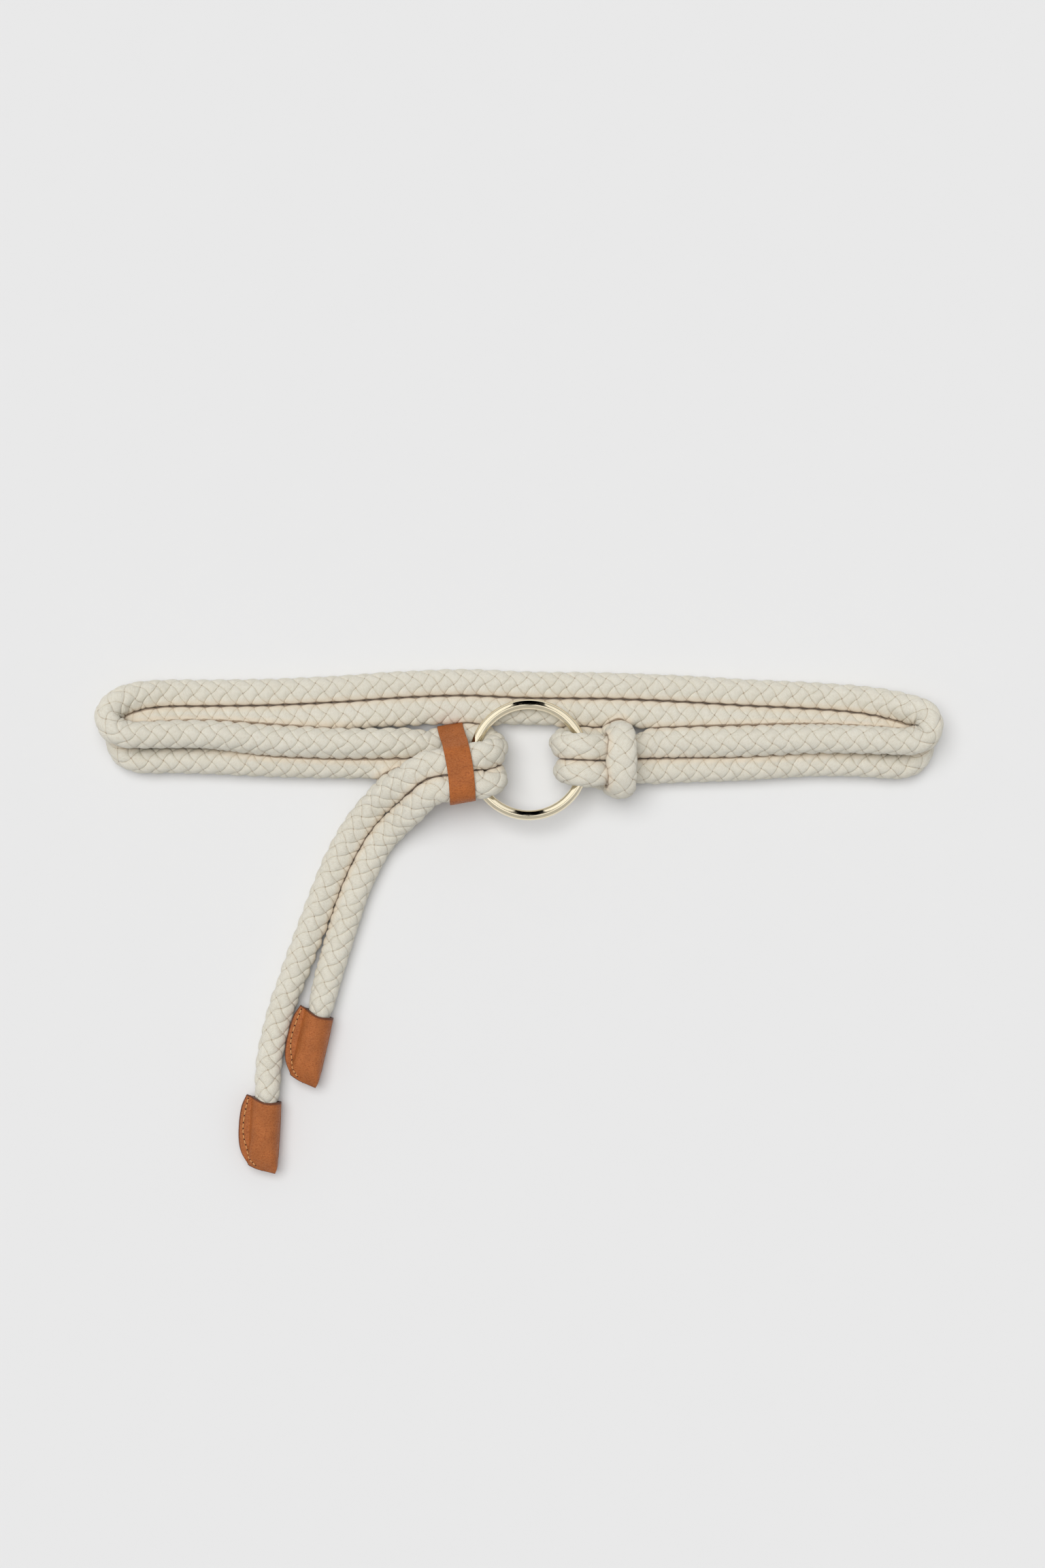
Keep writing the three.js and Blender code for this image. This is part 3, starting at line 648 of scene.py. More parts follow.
def nearness(line, s, place):
    """How near points of the rope are to another stretch of it, and how far they press to it.

    The first is 1 where they touch and 0 from TOUCH_REACH on. The second is a length: soft rope
    swells into the narrow wedge beside a contact.
    """
    stations = np.arange(0, line.length, CONTACT_STEP)
    at = line.sample(line.at, stations)
    reach = line.sample(line.squeeze, stations) * ROPE_R
    vertices = place.reshape(-1, 3)
    which = np.clip((s.ravel() / CONTACT_STEP).astype(int), 0, len(stations) - 1)
    order = np.argsort(which, kind="stable")
    bounds = np.searchsorted(which[order], np.arange(len(stations) + 1))
    gap = np.full(len(vertices), 1.0)
    for k in range(len(stations)):
        chosen = order[bounds[k]:bounds[k + 1]]
        far = np.abs(stations - stations[k]) > SAME_STRETCH
        close = np.linalg.norm(at - at[k], axis=1) < CONTACT_SEARCH
        others = np.nonzero(far & close)[0]
        if len(chosen) == 0 or len(others) == 0:
            continue
        gaps = np.linalg.norm(vertices[chosen][:, None, :] - at[others][None], axis=2)
        gap[chosen] = (gaps - reach[others]).min(axis=1)
    touch = np.clip(1 - (gap - SWELL_FULL) / TOUCH_REACH, 0, 1)
    fall = np.clip((SWELL_REACH - gap) / (SWELL_REACH - SWELL_FULL), 0, 1)
    push = np.clip(gap, 0, SWELL_FULL) / 2 * fall
    return touch.reshape(s.shape), push.reshape(s.shape)


def bore(line, start, end, vertices, quads, s, theta):
    """The sleeve's inner wall and the two rims that join it to the strands."""
    edges = np.concatenate([quads[:, [0, 1]], quads[:, [1, 2]], quads[:, [2, 3]], quads[:, [3, 0]]])
    pairs, counts = np.unique(np.sort(edges, axis=1), axis=0, return_counts=True)
    rim = np.unique(pairs[counts == 1])
    turn = np.mod(theta, 2 * np.pi)
    middle = (start + end) / 2
    rims = []
    for chosen in (rim[s[rim] < middle], rim[s[rim] >= middle]):
        rims.append(chosen[np.argsort(turn[chosen])])
    first_s, last_s = s[rims[0]].max(), s[rims[1]].min()
    count = max(2, int((last_s - first_s) / BORE_STEP))
    stations = np.linspace(first_s, last_s, count + 1)
    angles = 2 * np.pi * (np.arange(BORE_SIDES) + 0.5) / BORE_SIDES
    ss, tt = np.meshgrid(stations, angles, indexing="ij")
    place = on_rope(line, ss, tt, np.full(ss.shape, BORE_R))
    base = len(vertices)
    faces = []
    for i in range(count):
        for j in range(BORE_SIDES):
            k = (j + 1) % BORE_SIDES
            a, b = base + i * BORE_SIDES, base + (i + 1) * BORE_SIDES
            faces.append([a + j, b + j, b + k, a + k])
    for ring, row, flip in ((rims[0], 0, False), (rims[1], count, True)):
        inner = [base + row * BORE_SIDES + j for j in range(BORE_SIDES)]
        faces += zipped(ring.tolist(), turn[ring].tolist(), inner, angles.tolist(), flip)
    return place.reshape(-1, 3).tolist(), faces


def zipped(outer, outer_turns, inner, inner_turns, flip):
    """Triangles between two rings of vertices that are both sorted by angle."""
    faces = []
    i = j = 0
    full = 2 * math.pi
    while i < len(outer) or j < len(inner):
        next_outer = outer_turns[(i + 1) % len(outer)] + full * ((i + 1) // len(outer))
        next_inner = inner_turns[(j + 1) % len(inner)] + full * ((j + 1) // len(inner))
        a, b = outer[i % len(outer)], inner[j % len(inner)]
        take_outer = j >= len(inner) or (i < len(outer) and next_outer <= next_inner)
        if take_outer:
            face = [a, b, outer[(i + 1) % len(outer)]]
            i += 1
        else:
            face = [a, b, inner[(j + 1) % len(inner)]]
            j += 1
        faces.append(face if flip else face[::-1])
    return faces


# ---- Materials ----


class Look:
    """A material and short ways to add nodes to it."""

    def __init__(self, name):
        self.material = bpy.data.materials.new(name)
        self.material.use_nodes = True
        self.tree = self.material.node_tree
        self.shader = self.tree.nodes["Principled BSDF"]

    def add(self, kind, inputs=None, **settings):
        """A node; inputs are values or other nodes' outputs, by socket name or number."""
        node = self.tree.nodes.new(kind)
        for key, value in settings.items():
            setattr(node, key, value)
        for key, value in (inputs or {}).items():
            if isinstance(value, bpy.types.NodeSocket):
                self.tree.links.new(value, node.inputs[key])
            else:
                node.inputs[key].default_value = value
        return node

    def math(self, operation, a, b=0.0):
        """A Math node's result."""
        return self.add("ShaderNodeMath", {0: a, 1: b}, operation=operation).outputs[0]

    def mix(self, share, low, high):
        """A colour between two, by a share of the second."""
        node = self.add("ShaderNodeMix", {0: share, 6: low, 7: high}, data_type="RGBA")
        return node.outputs[2]

    def fade(self, value, start, end, low=0.0, high=1.0):
        """A value taken smoothly from one range to another."""
        inputs = {0: value, 1: start, 2: end, 3: low, 4: high}
        node = self.add("ShaderNodeMapRange", inputs, interpolation_type="SMOOTHSTEP")
        return node.outputs[0]

    def between(self, value, low, high, soft):
        """1 between two values and 0 outside, over soft edges."""
        rise = self.fade(value, low - soft, low + soft)
        fall = self.fade(value, high - soft, high + soft, 1.0, 0.0)
        return self.math("MULTIPLY", rise, fall)

    def noise(self, vector, scale, detail=3.0, roughness=0.55):
        """A noise between 0 and 1."""
        inputs = {"Vector": vector, "Scale": scale, "Detail": detail, "Roughness": roughness}
        return self.add("ShaderNodeTexNoise", inputs).outputs[0]

    def attribute(self, name):
        """A painted number."""
        return self.add("ShaderNodeAttribute", attribute_name=name).outputs["Fac"]

    def here(self):
        """The place on the object."""
        return self.add("ShaderNodeTexCoord").outputs["Object"]

    def colour(self, output):
        """The shader's base colour, from a node."""
        self.tree.links.new(output, self.shader.inputs["Base Color"])

    def rough(self, output):
        """The shader's roughness, from a node."""
        self.tree.links.new(output, self.shader.inputs["Roughness"])

    def bump(self, height, distance, strength=1.0, under=None):
        """A bump; returns its normal, for another bump to go over."""
        inputs = {"Height": height, "Distance": distance, "Strength": strength}
        node = self.add("ShaderNodeBump", inputs)
        if under is not None:
            self.tree.links.new(under, node.inputs["Normal"])
        self.tree.links.new(node.outputs[0], self.shader.inputs["Normal"])
        return node.outputs[0]

    def set(self, **values):
        """Numbers and colours on the shader's own sockets."""
        for name, value in values.items():
            self.shader.inputs[name.replace("_", " ")].default_value = value


def rgba(colour, factor=1.0):
    """A colour made darker or lighter, with its alpha."""
    return tuple(c * factor for c in colour) + (1.0,)


def cotton_look():
    """Plaited cotton: fine yarns along each strand, with painted warm shade down in the grooves,
    between the yarns, in the gaps where four strands meet and beside other turns.
    """
    size = belt()
    look = Look("plaited_cotton")
    place = look.here()
    uv = look.add("ShaderNodeUVMap", uv_map="strands").outputs[0]
    split = look.add("ShaderNodeSeparateXYZ", {0: uv})
    across, run = split.outputs[0], split.outputs[1]
    sway = look.math("SUBTRACT", look.noise(uv, 2.2, 2.0), 0.5)
    bent = look.math("ADD", across, look.math("MULTIPLY", sway, 0.10))
    phase = look.math("MULTIPLY", bent, math.pi * size.yarns)
    yarn = look.math("ABSOLUTE", look.math("SINE", phase))
    lean = look.math("ADD", look.math("MULTIPLY", run, 17.0), look.math("MULTIPLY", phase, 0.55))
    ply = look.math("ABSOLUTE", look.math("SINE", lean))
    fibre = look.noise(place, 2600.0, 2.0, 0.7)
    drawn = look.add("ShaderNodeMapping", {"Vector": uv, "Scale": (24.0, 3.5, 1.0)}).outputs[0]
    streak = look.noise(drawn, 1.0, 3.0, 0.65)
    patch = look.noise(place, 55.0, 2.0)
    shade = look.math("ADD", look.math("MULTIPLY", look.attribute("tone"), 0.45),
                      look.math("MULTIPLY", patch, 0.6))
    body = look.mix(shade, rgba(size.cotton_shade), rgba(size.cotton))
    # Painted shade between the yarns.
    shade_between_yarns = look.fade(yarn, 0.0, 0.45, 0.17, 0.0)
    body = look.mix(shade_between_yarns, body, rgba(size.cotton_groove_shade_and_streak))
    body = look.mix(look.fade(fibre, 0.35, 0.75, 0.16, 0.0), body, rgba(size.cotton_shade, 0.85))
    # Painted shade down in the grooves between cells, broken up by noise.
    groove = look.fade(look.attribute("depth"), 0.0, 0.28, 0.58, 0.0)
    # Darker streaks along the strands, the yarn's own tone, in the same colour.
    body = look.mix(look.fade(streak, 0.30, 0.60, 0.30, 0.0), body, rgba(size.cotton_groove_shade_and_streak))
    broken = look.fade(look.noise(place, 420.0, 2.0), 0.35, 0.62, 0.35, 1.0)
    body = look.mix(look.math("MULTIPLY", groove, broken), body, rgba(size.cotton_groove_shade_and_streak))
    # Painted shade in the gaps where four strands meet.
    gap = look.math("MULTIPLY", look.fade(look.attribute("pit"), 0.84, 0.98), 0.80)
    body = look.mix(gap, body, rgba(size.cotton_gap_shade))
    # Painted warm shade close beside another turn of the rope.
    near = look.attribute("touch")
    body = look.mix(look.fade(near, 0.10, 0.90, 0.0, 0.45), body, rgba(size.cotton_near_turn_shade))
    # Darker painted shade where two turns touch.
    body = look.mix(look.fade(near, 0.89, 1.0, 0.0, 0.78), body, rgba(size.cotton_contact_shade))
    look.colour(body)
    look.set(Roughness=0.93, Sheen_Weight=0.25, Sheen_Roughness=0.5, Specular_IOR_Level=0.2)
    threads = look.math("ADD", look.math("MULTIPLY", yarn, 0.8), look.math("MULTIPLY", ply, 0.18))
    under = look.bump(threads, 0.00013, 0.7)
    under = look.bump(streak, 0.00030, 0.8, under)
    look.bump(fibre, 0.00014, 0.9, under)
    return look.material


def filler_look(name, colour):
    """Loose twisted yarn, or woven tape."""
    look = Look(name)
    place = look.here()
    fibre = look.noise(place, 900.0, 3.0, 0.7)
    look.colour(look.mix(fibre, rgba(colour, 0.75), rgba(colour)))
    look.set(Roughness=0.95, Sheen_Weight=0.2)
    look.bump(fibre, 0.0002, 0.8)
    return look.material


def gold_look():
    """Polished pale gold plate with faint rubbing."""
    look = Look("gold_plate")
    place = look.here()
    rub = look.noise(place, 380.0, 4.0, 0.65)
    look.colour(look.mix(rub, rgba(belt().gold, 0.94), rgba(belt().gold)))
    look.rough(look.fade(rub, 0.3, 0.8, 0.05, 0.13))
    look.set(Metallic=1.0)
    look.bump(look.noise(place, 160.0, 2.0), 0.00002, 0.15)
    return look.material


def leather_look(name, colour, dark, grain):
    """Printed hide: small raised pebbles, drawn out a little one way, with painted shade between them
    and a painted highlight on their crowns.
    """
    look = Look(name)
    place = look.here()
    drawn = look.add("ShaderNodeMapping", {"Vector": place, "Rotation": (0, 0, 0.35),
                                           "Scale": (0.62, 1.0, 0.8)}).outputs[0]
    pebbles = look.add("ShaderNodeTexVoronoi", {"Vector": drawn, "Scale": grain, "Randomness": 0.85},
                       feature="SMOOTH_F1").outputs["Distance"]
    crown = look.fade(pebbles, 0.15, 0.75, 1.0, 0.0)
    tone = look.noise(place, 120.0, 3.0)
    pores = look.noise(place, 2600.0, 2.0, 0.7)
    body = look.mix(look.fade(tone, 0.3, 0.7), rgba(colour, 0.90), rgba(colour, 1.10))
    # Painted shade between the pebbles, in the dark colour.
    body = look.mix(look.fade(crown, 0.0, 0.5, 0.55, 0.0), body, rgba(dark))
    # Painted highlight on the pebbles' crowns.
    body = look.mix(look.fade(crown, 0.8, 1.0, 0.0, 0.10), body, rgba((0.72, 0.36, 0.15)))
    painted = look.fade(look.attribute("rim"), 0.15, 0.60, 0.0, 0.85)
    body = look.mix(painted, body, rgba((0.10, 0.030, 0.014)))
    look.colour(body)
    look.rough(look.fade(crown, 0.2, 1.0, 0.60, 0.40))
    look.set(Specular_IOR_Level=0.32)
    under = look.bump(crown, 0.00012, 1.0)
    look.bump(pores, 0.00003, 0.5, under)
    return look.material


def edge_look(name, low, high):
    """The cut edge of leather, painted or raw."""
    look = Look(name)
    place = look.here()
    worn = look.noise(place, 700.0, 3.0)
    look.colour(look.mix(look.fade(worn, 0.45, 0.75), rgba(low), rgba(high)))
    look.set(Roughness=0.5)
    look.bump(worn, 0.00006, 0.6)
    return look.material


def thread_look(name, colour):
    """Waxed sewing thread with its twist showing."""
    look = Look(name)
    place = look.here()
    twist = look.add("ShaderNodeTexWave", {"Vector": place, "Scale": 900.0, "Distortion": 1.5},
                     bands_direction="DIAGONAL").outputs[1]
    look.colour(look.mix(twist, rgba(colour, 0.6), rgba(colour)))
    look.set(Roughness=0.55)
    look.bump(twist, 0.00006, 0.7)
    return look.material


def needle_hole_look():
    """The hole that a stitch goes down, dark with painted shade."""
    look = Look("needle_hole")
    shade_speckle = look.noise(look.here(), 1500.0)
    look.colour(look.mix(shade_speckle, rgba((0.030, 0.012, 0.008)), rgba((0.075, 0.028, 0.015))))
    look.set(Roughness=0.9)
    return look.material


def paper_look():
    """Matt pale paper for the surface below."""
    look = Look("paper_floor")
    grain = look.noise(look.here(), 40.0, 4.0)
    look.colour(look.mix(grain, rgba(stage_settings().floor, 0.99), rgba(stage_settings().floor)))
    look.set(Roughness=0.9, Specular_IOR_Level=0.1)
    return look.material


def mirror_room_look():
    """A pale room with a soft box on each side of a dark gap, for the metal to mirror."""
    stage = stage_settings()
    look = Look("mirror_room")
    split = look.add("ShaderNodeSeparateXYZ", {0: look.here()})
    height = look.math("MAXIMUM", split.outputs[2], 0.1)
    a = look.math("DIVIDE", split.outputs[0], height)
    b = look.math("DIVIDE", split.outputs[1], height)
    glow = stage.room
    boxes = ((-2.4, 0.0, -0.38, 2.0, stage.left_box), (0.0, 1.4, -0.38, 1.6, stage.right_box))
    for a0, a1, b0, b1, power in boxes:
        box = look.math("MULTIPLY", look.between(a, a0, a1, 0.07), look.between(b, b0, b1, 0.1))
        glow = look.math("ADD", glow, look.math("MULTIPLY", box, power))
    wedge = look.math("MULTIPLY", look.math("MAXIMUM", b, 0.0), 0.27)
    past = look.math("SUBTRACT", look.math("ABSOLUTE", a), wedge)
    dark = look.math("MULTIPLY", look.fade(past, 0.0, 0.03, 1.0, 0.0), look.fade(b, -0.50, -0.30))
    glow = look.math("MULTIPLY", glow, look.math("SUBTRACT", 1.0, dark))
    light = look.add("ShaderNodeEmission", {"Color": (1.0, 1.0, 1.0, 1.0), "Strength": glow})
    surface = look.tree.nodes["Material Output"].inputs["Surface"]
    look.tree.links.new(light.outputs[0], surface)
    return look.material


def wear(obj, *materials):
    """Gives an object its materials."""
    obj.data.materials.clear()
    for one in materials:
        obj.data.materials.append(one)


# ---- Tools for making pieces ----


def alone(obj):
    """Deselects everything, then selects and activates one object."""
    if bpy.context.object and bpy.context.object.mode != "OBJECT":
        bpy.ops.object.mode_set(mode="OBJECT")
    bpy.ops.object.select_all(action="DESELECT")
    if obj is not None:
        obj.select_set(True)
        bpy.context.view_layer.objects.active = obj


def settle(obj):
    """Moves an object's place into its mesh."""
    alone(obj)
    bpy.ops.object.transform_apply(location=True, rotation=True, scale=True)


def with_modifier(obj, kind, **settings):
    """Adds a modifier and applies it."""
    alone(obj)
    modifier = obj.modifiers.new(kind.lower(), kind)
    for key, value in settings.items():
        setattr(modifier, key, value)
    bpy.ops.object.modifier_apply(modifier=modifier.name)


def grid(name, columns, rows, place, rim=None):
    """A grid with each vertex put where place(column share, row share) says.

    rim(column share, row share) is how much of the edge paint reaches a place.
    """
    alone(None)
    bpy.ops.mesh.primitive_grid_add(x_subdivisions=columns, y_subdivisions=rows, size=1)
    obj = bpy.context.object
    obj.name = name
    shares = [(vertex.co.x + 0.5, vertex.co.y + 0.5) for vertex in obj.data.vertices]
    for vertex, (u, v) in zip(obj.data.vertices, shares):
        vertex.co = place(u, v)
    paint(obj.data, "rim", [rim(u, v) if rim else 0.0 for u, v in shares])
    return obj


def joined(name, objects):
    """One object from several."""
    alone(objects[0])
    for obj in objects[1:]:
        obj.select_set(True)
    bpy.ops.object.join()
    obj = bpy.context.object
    obj.name = name
    settle(obj)
    return obj


def smooth(obj, degrees=40):
    """Smooth faces, with edges sharper than an angle left sharp."""
    alone(obj)
    bpy.ops.object.shade_smooth_by_angle(angle=math.radians(degrees))


def outwards(obj):
    """Faces made to point outwards."""
    alone(obj)
    bpy.ops.object.mode_set(mode="EDIT")
    bpy.ops.mesh.select_all(action="SELECT")
    bpy.ops.mesh.remove_doubles(threshold=0.000001)
    bpy.ops.mesh.normals_make_consistent(inside=False)
    bpy.ops.object.mode_set(mode="OBJECT")


# ---- Stitches ----

THREAD_SIDES = 8
THREAD_LIFT = 0.32  # of its width, over the leather at mid-stitch
THREAD_THINNING = 0.45  # at its ends
THREAD_DIP = 0.75  # of its width, at its ends
STITCH_SHARE = 0.90  # of the distance between two holes
HOLE_SHARE = 1.05  # a hole's width to the thread's
HOLE_FLATNESS = 0.18
HOLE_LIFT = 0.00005  # keeps a hole's dimple on the leather


def stitch(at, along, up, length, width):
    """One stitch: a fat thread that bows up between the two needle holes it goes down."""
    alone(None)
    bpy.ops.mesh.primitive_cylinder_add(vertices=THREAD_SIDES, radius=width / 2, depth=length,
                                        end_fill_type="TRIFAN")
    obj = bpy.context.object
    bpy.ops.object.mode_set(mode="EDIT")
    for height in (0, length / 4, -length / 4):
        bpy.ops.mesh.select_all(action="SELECT")
        bpy.ops.mesh.bisect(plane_co=(0, 0, height), plane_no=(0, 0, 1))
    bpy.ops.object.mode_set(mode="OBJECT")
    side = along.cross(up).normalized()
    turn = Matrix((side, up, along)).transposed()
    for vertex in obj.data.vertices:
        share = vertex.co.z / (length / 2)
        thin = 1 - THREAD_THINNING * share**2
        local = Vector((vertex.co.x * thin, vertex.co.y * thin, vertex.co.z))
        local.y -= width * THREAD_DIP * share**2
        vertex.co = at + turn @ local
    return obj


def needle_hole(at, up, size):
    """A shallow dimple in the leather, dark with painted shade for the needle hole."""
    alone(None)
    bpy.ops.mesh.primitive_uv_sphere_add(segments=8, ring_count=5, radius=size / 2)
    obj = bpy.context.object
    turn = up.to_track_quat("Z", "Y")
    for vertex in obj.data.vertices:
        flat = Vector((vertex.co.x, vertex.co.y, vertex.co.z * HOLE_FLATNESS))
        vertex.co = at + turn @ flat
    return obj


def row_of_stitches(name, holes, ups, width, thread, hole):
    """Stitches from hole to hole, joined into one object."""
    parts = []
    for i in range(len(holes) - 1):
        middle = (holes[i] + holes[i + 1]) / 2
        up = (ups[i] + ups[i + 1]).normalized()
        along = (holes[i + 1] - holes[i]).normalized()
        up = (up - along * up.dot(along)).normalized()
        gap = (holes[i + 1] - holes[i]).length
        at = middle + up * width * THREAD_LIFT
        parts.append(stitch(at, along, up, gap * STITCH_SHARE, width))
        wear(parts[-1], thread, hole)
    for at, up in zip(holes, ups):
        dimple = needle_hole(at, up, width * HOLE_SHARE)
        wear(dimple, thread, hole)
        for face in dimple.data.polygons:
            face.material_index = 1
        parts.append(dimple)
    obj = joined(name, parts)
    smooth(obj, 60)
    return obj


# ---- Tip leathers ----
# Drawn about the cut end of the tip's rope: +Y to the mouth, fold at +X, sewn flange at -X.

TIP_R = TIP_Z
MOUTH_LINE = [(-0.0102, 0.0278), (-0.0067, 0.0268), (-0.0002, 0.0248), (0.0074, 0.0252)]
FLANGE_LINE = [(-0.0102, 0.0278), (-0.0124, 0.0215), (-0.0129, 0.0070), (-0.0112, -0.0007),
               (-0.0068, -0.0074)]
FOOT_LINE = [(-0.0068, -0.0074), (-0.0029, -0.0089), (0.0064, -0.0108)]
FOLD_LINE = [(0.0074, 0.0252), (0.0075, 0.0080), (0.0072, -0.0080), (0.0064, -0.0108)]
SEAM_LINE = [(-0.0092, 0.0260), (-0.0102, 0.0201), (-0.0109, 0.0126), (-0.0103, 0.0068),
             (-0.0084, 0.0011), (-0.0065, -0.0038), (-0.0034, -0.0069)]
TAPER = 0.0125  # length over which a tip flattens towards its foot
FLANGE_BLEND = 0.0012  # rounds the corner between the pocket and the flange
TIP_THREAD = 0.00078
SLOPE_STEP = 0.0003
PATCH_GRID = (72, 40)
FOOT_SLOPE = 0.24
TIP_WIDTH = 0.020
TIP_LENGTH = 0.036
PAINT_REACH = 0.0013


def along_line(points, share):
    """A point on a smooth line through a few points."""
    points = [Vector((x, y, 0)) for x, y in points]
    padded = [points[0] * 2 - points[1]] + points + [points[-1] * 2 - points[-2]]
    place = min(max(share, 0.0), 1.0) * (len(points) - 1)
    i = min(int(place), len(points) - 2)
    return between(padded[i:i + 4], place - i)


def patch_point(s, t):
    """A place on the tip's outline patch: s from flange to fold, t from mouth to foot."""
    mouth, foot = along_line(MOUTH_LINE, s), along_line(FOOT_LINE, s)
    left, right = along_line(FLANGE_LINE, t), along_line(FOLD_LINE, t)
    corners = (along_line(MOUTH_LINE, 0) * (1 - s) * (1 - t) + along_line(MOUTH_LINE, 1) * s * (1 - t)
               + along_line(FOOT_LINE, 0) * (1 - s) * t + along_line(FOOT_LINE, 1) * s * t)
    return mouth * (1 - t) + foot * t + left * (1 - s) + right * s - corners


def tip_height(x, y):
    """Height of the tip's outside over its middle plane."""
    foot_x, foot_y = FOOT_LINE[0]
    foot = foot_y - FOOT_SLOPE * (x - foot_x)
    above = max(y - foot, 0.0)
    full = min(above / TAPER, 1.0)
    rise = LEATHER + (TIP_R - LEATHER) * math.sin(full * math.pi / 2) ** 0.8
    power = 2.0 + 4.0 * (1 - full)
    share = min(abs(x) / TIP_R, 1.0)
    pocket = rise * max(0.0, 1 - share**power) ** (1 / power)
    if x > 0:
        return pocket
    return 0.5 * (pocket + LEATHER + math.hypot(pocket - LEATHER, FLANGE_BLEND))


def tip_normal(x, y):
    """Which way the tip's outside faces."""
    step = SLOPE_STEP
    slope_x = (tip_height(x + step, y) - tip_height(x - step, y)) / (2 * step)
    slope_y = (tip_height(x, y + step) - tip_height(x, y - step)) / (2 * step)
    return Vector((-slope_x, -slope_y, 1)).normalized()


def tip_matrix(end):
    """From the tip's own drawing to the frame."""
    (x, y), turn = end
    place = Matrix.Translation(RING_FOOT + Vector((x, y, TIP_Z)))
    return place @ Matrix.Rotation(turn, 4, "Z")


def tip_leather(name, end):
    """A folded leather tip: one hide over the rope's end, its two layers meeting at the flange."""
    frame = tip_matrix(end)

    def patch_shares(u, v):
        share = 1 - abs(2 * u - 1)
        s = math.sin((share + share**2) * math.pi / 4)
        t = 0.5 * v + 0.25 * (1 - math.cos(math.pi * v))
        return s, t

    def place(u, v):
        s, t = patch_shares(u, v)
        at = patch_point(s, t)
        layer = 1 if u <= 0.5 else -1
        at.z = layer * tip_height(at.x, at.y) if s < 1 else 0.0
        return frame @ at

    def rim(u, v):
        s, t = patch_shares(u, v)
        from_outline = min(s * TIP_WIDTH, t * TIP_LENGTH, (1 - t) * TIP_LENGTH)
        return max(0.0, 1 - from_outline / PAINT_REACH)

    obj = grid(name, *PATCH_GRID, place, rim)
    outwards(obj)
    wear(obj, tip_material(), edge_material())
    with_modifier(obj, "SOLIDIFY", thickness=LEATHER, offset=solid_side(obj, frame), use_rim=True,
                  material_offset_rim=1)
    with_modifier(obj, "BEVEL", width=0.00022, segments=2, limit_method="ANGLE",
                  angle_limit=math.radians(50))
    smooth(obj, 45)
    settle(obj)
    return obj


def solid_side(obj, frame):
    """Solidify's offset that puts the thickness inside the tip."""
    centre = frame @ Vector((0, TIP_GRIP / 2, 0))
    votes = sum(
        1 if (face.center - centre).dot(face.normal) > 0 else -1 for face in obj.data.polygons
    )
    return -1 if votes > 0 else 1


def tip_seam(name, end):
    """The row of stitches through the flange, showing on both of its sides."""
    frame = tip_matrix(end)
    count = belt().seam_stitches
    parts = []
    for layer in (1, -1):
        holes, ups = [], []
        for i in range(count + 1):
            at = along_line(SEAM_LINE, i / count)
            height = tip_height(at.x, at.y)
            up = tip_normal(at.x, at.y)
            holes.append(frame @ Vector((at.x, at.y, layer * (height + HOLE_LIFT))))
            ups.append(frame.to_3x3() @ Vector((up.x, up.y, layer * up.z)))
        parts.append(row_of_stitches(name + str(layer), holes, ups, TIP_THREAD,
                                     tip_thread_material(), hole_material()))
    return joined(name, parts)


# ---- Keeper ----

LAP = 0.011
KEEPER_BOW = 0.0018
CORNER_STEPS = 16
STRIP_GRID = (180, 10)
STRIP_TRIM = 0.0002  # how much narrower the strip is than its node
KEEPER_STITCHES = 4
KEEPER_SEAM = 0.0096  # length of its row of stitches
KEEPER_THREAD = 0.0006


def hull_path(radius):
    """Points of the rounded outline about the keeper's four strands, as (across, z)."""
    centres = [(BELOW_B, SOLE_Z), (BELOW_A, SOLE_Z), (TAIL_A, OVER_Z), (TAIL_B, OVER_Z)]
    points = []
    for i, (x, z) in enumerate(centres):
        px, pz = centres[i - 1]
        nx, nz = centres[(i + 1) % 4]
        first = math.atan2(z - pz, x - px) - math.pi / 2
        last = math.atan2(nz - z, nx - x) - math.pi / 2
        if last < first:
            last += 2 * math.pi
        for k in range(CORNER_STEPS + 1):
            angle = first + (last - first) * k / CORNER_STEPS
            points.append(Vector((x + radius * math.cos(angle), z + radius * math.sin(angle))))
    return points


def keeper_strip_path():
    """The strip's middle line: once round the strands and then on over its own start."""
    loop = hull_path(ROPE_R + SLIDE_GAP + LEATHER / 2)
    slope_start, slope_end = loop[-1], loop[0]
    middle = (slope_start + slope_end) / 2
    down = (slope_end - slope_start).normalized()
    start = middle - down * (LAP / 2)
    finish = middle + down * (LAP / 2)
    out = Vector((down.y, -down.x))
    if out.dot(middle - Vector((BELOW_A, SOLE_Z))) < 0:
        out = -out
    lift = out * (LEATHER * 1.02)
    path = [start, start * 0.5 + middle * 0.5, middle] + loop
    path += [loop[-1] + (start - loop[-1]) * 0.55, start + lift * 0.9 - down * 0.0004,
             start + lift + down * 0.0015, middle + lift, finish + lift]
    return path, out


def evenly(points, count):
    """Points spaced evenly along a bent line."""
    points = np.array(points)
    steps = np.linalg.norm(np.diff(points, axis=0), axis=1)
    lengths = np.concatenate([[0], np.cumsum(steps)])
    wanted = np.linspace(0, lengths[-1], count)
    return np.stack([np.interp(wanted, lengths, points[:, k]) for k in range(points.shape[1])], 1)


def keeper_point(along, across, z):
    """A place about the keeper, whose strip bows along the belt between its two sides."""
    top, bottom = BELOW_A + ROPE_R + LEATHER, TAIL_B - ROPE_R - LEATHER
    share = (across - (top + bottom) / 2) / ((top - bottom) / 2)
    upper = min(max((z - SOLE_Z) / (OVER_Z - SOLE_Z), 0.0), 1.0)
    bow = KEEPER_BOW * max(1 - share**2, 0.0) * upper
    x, y, z, _ = in_keeper(along + bow, across, z)
    return RING_FOOT + Vector((x, y, z))


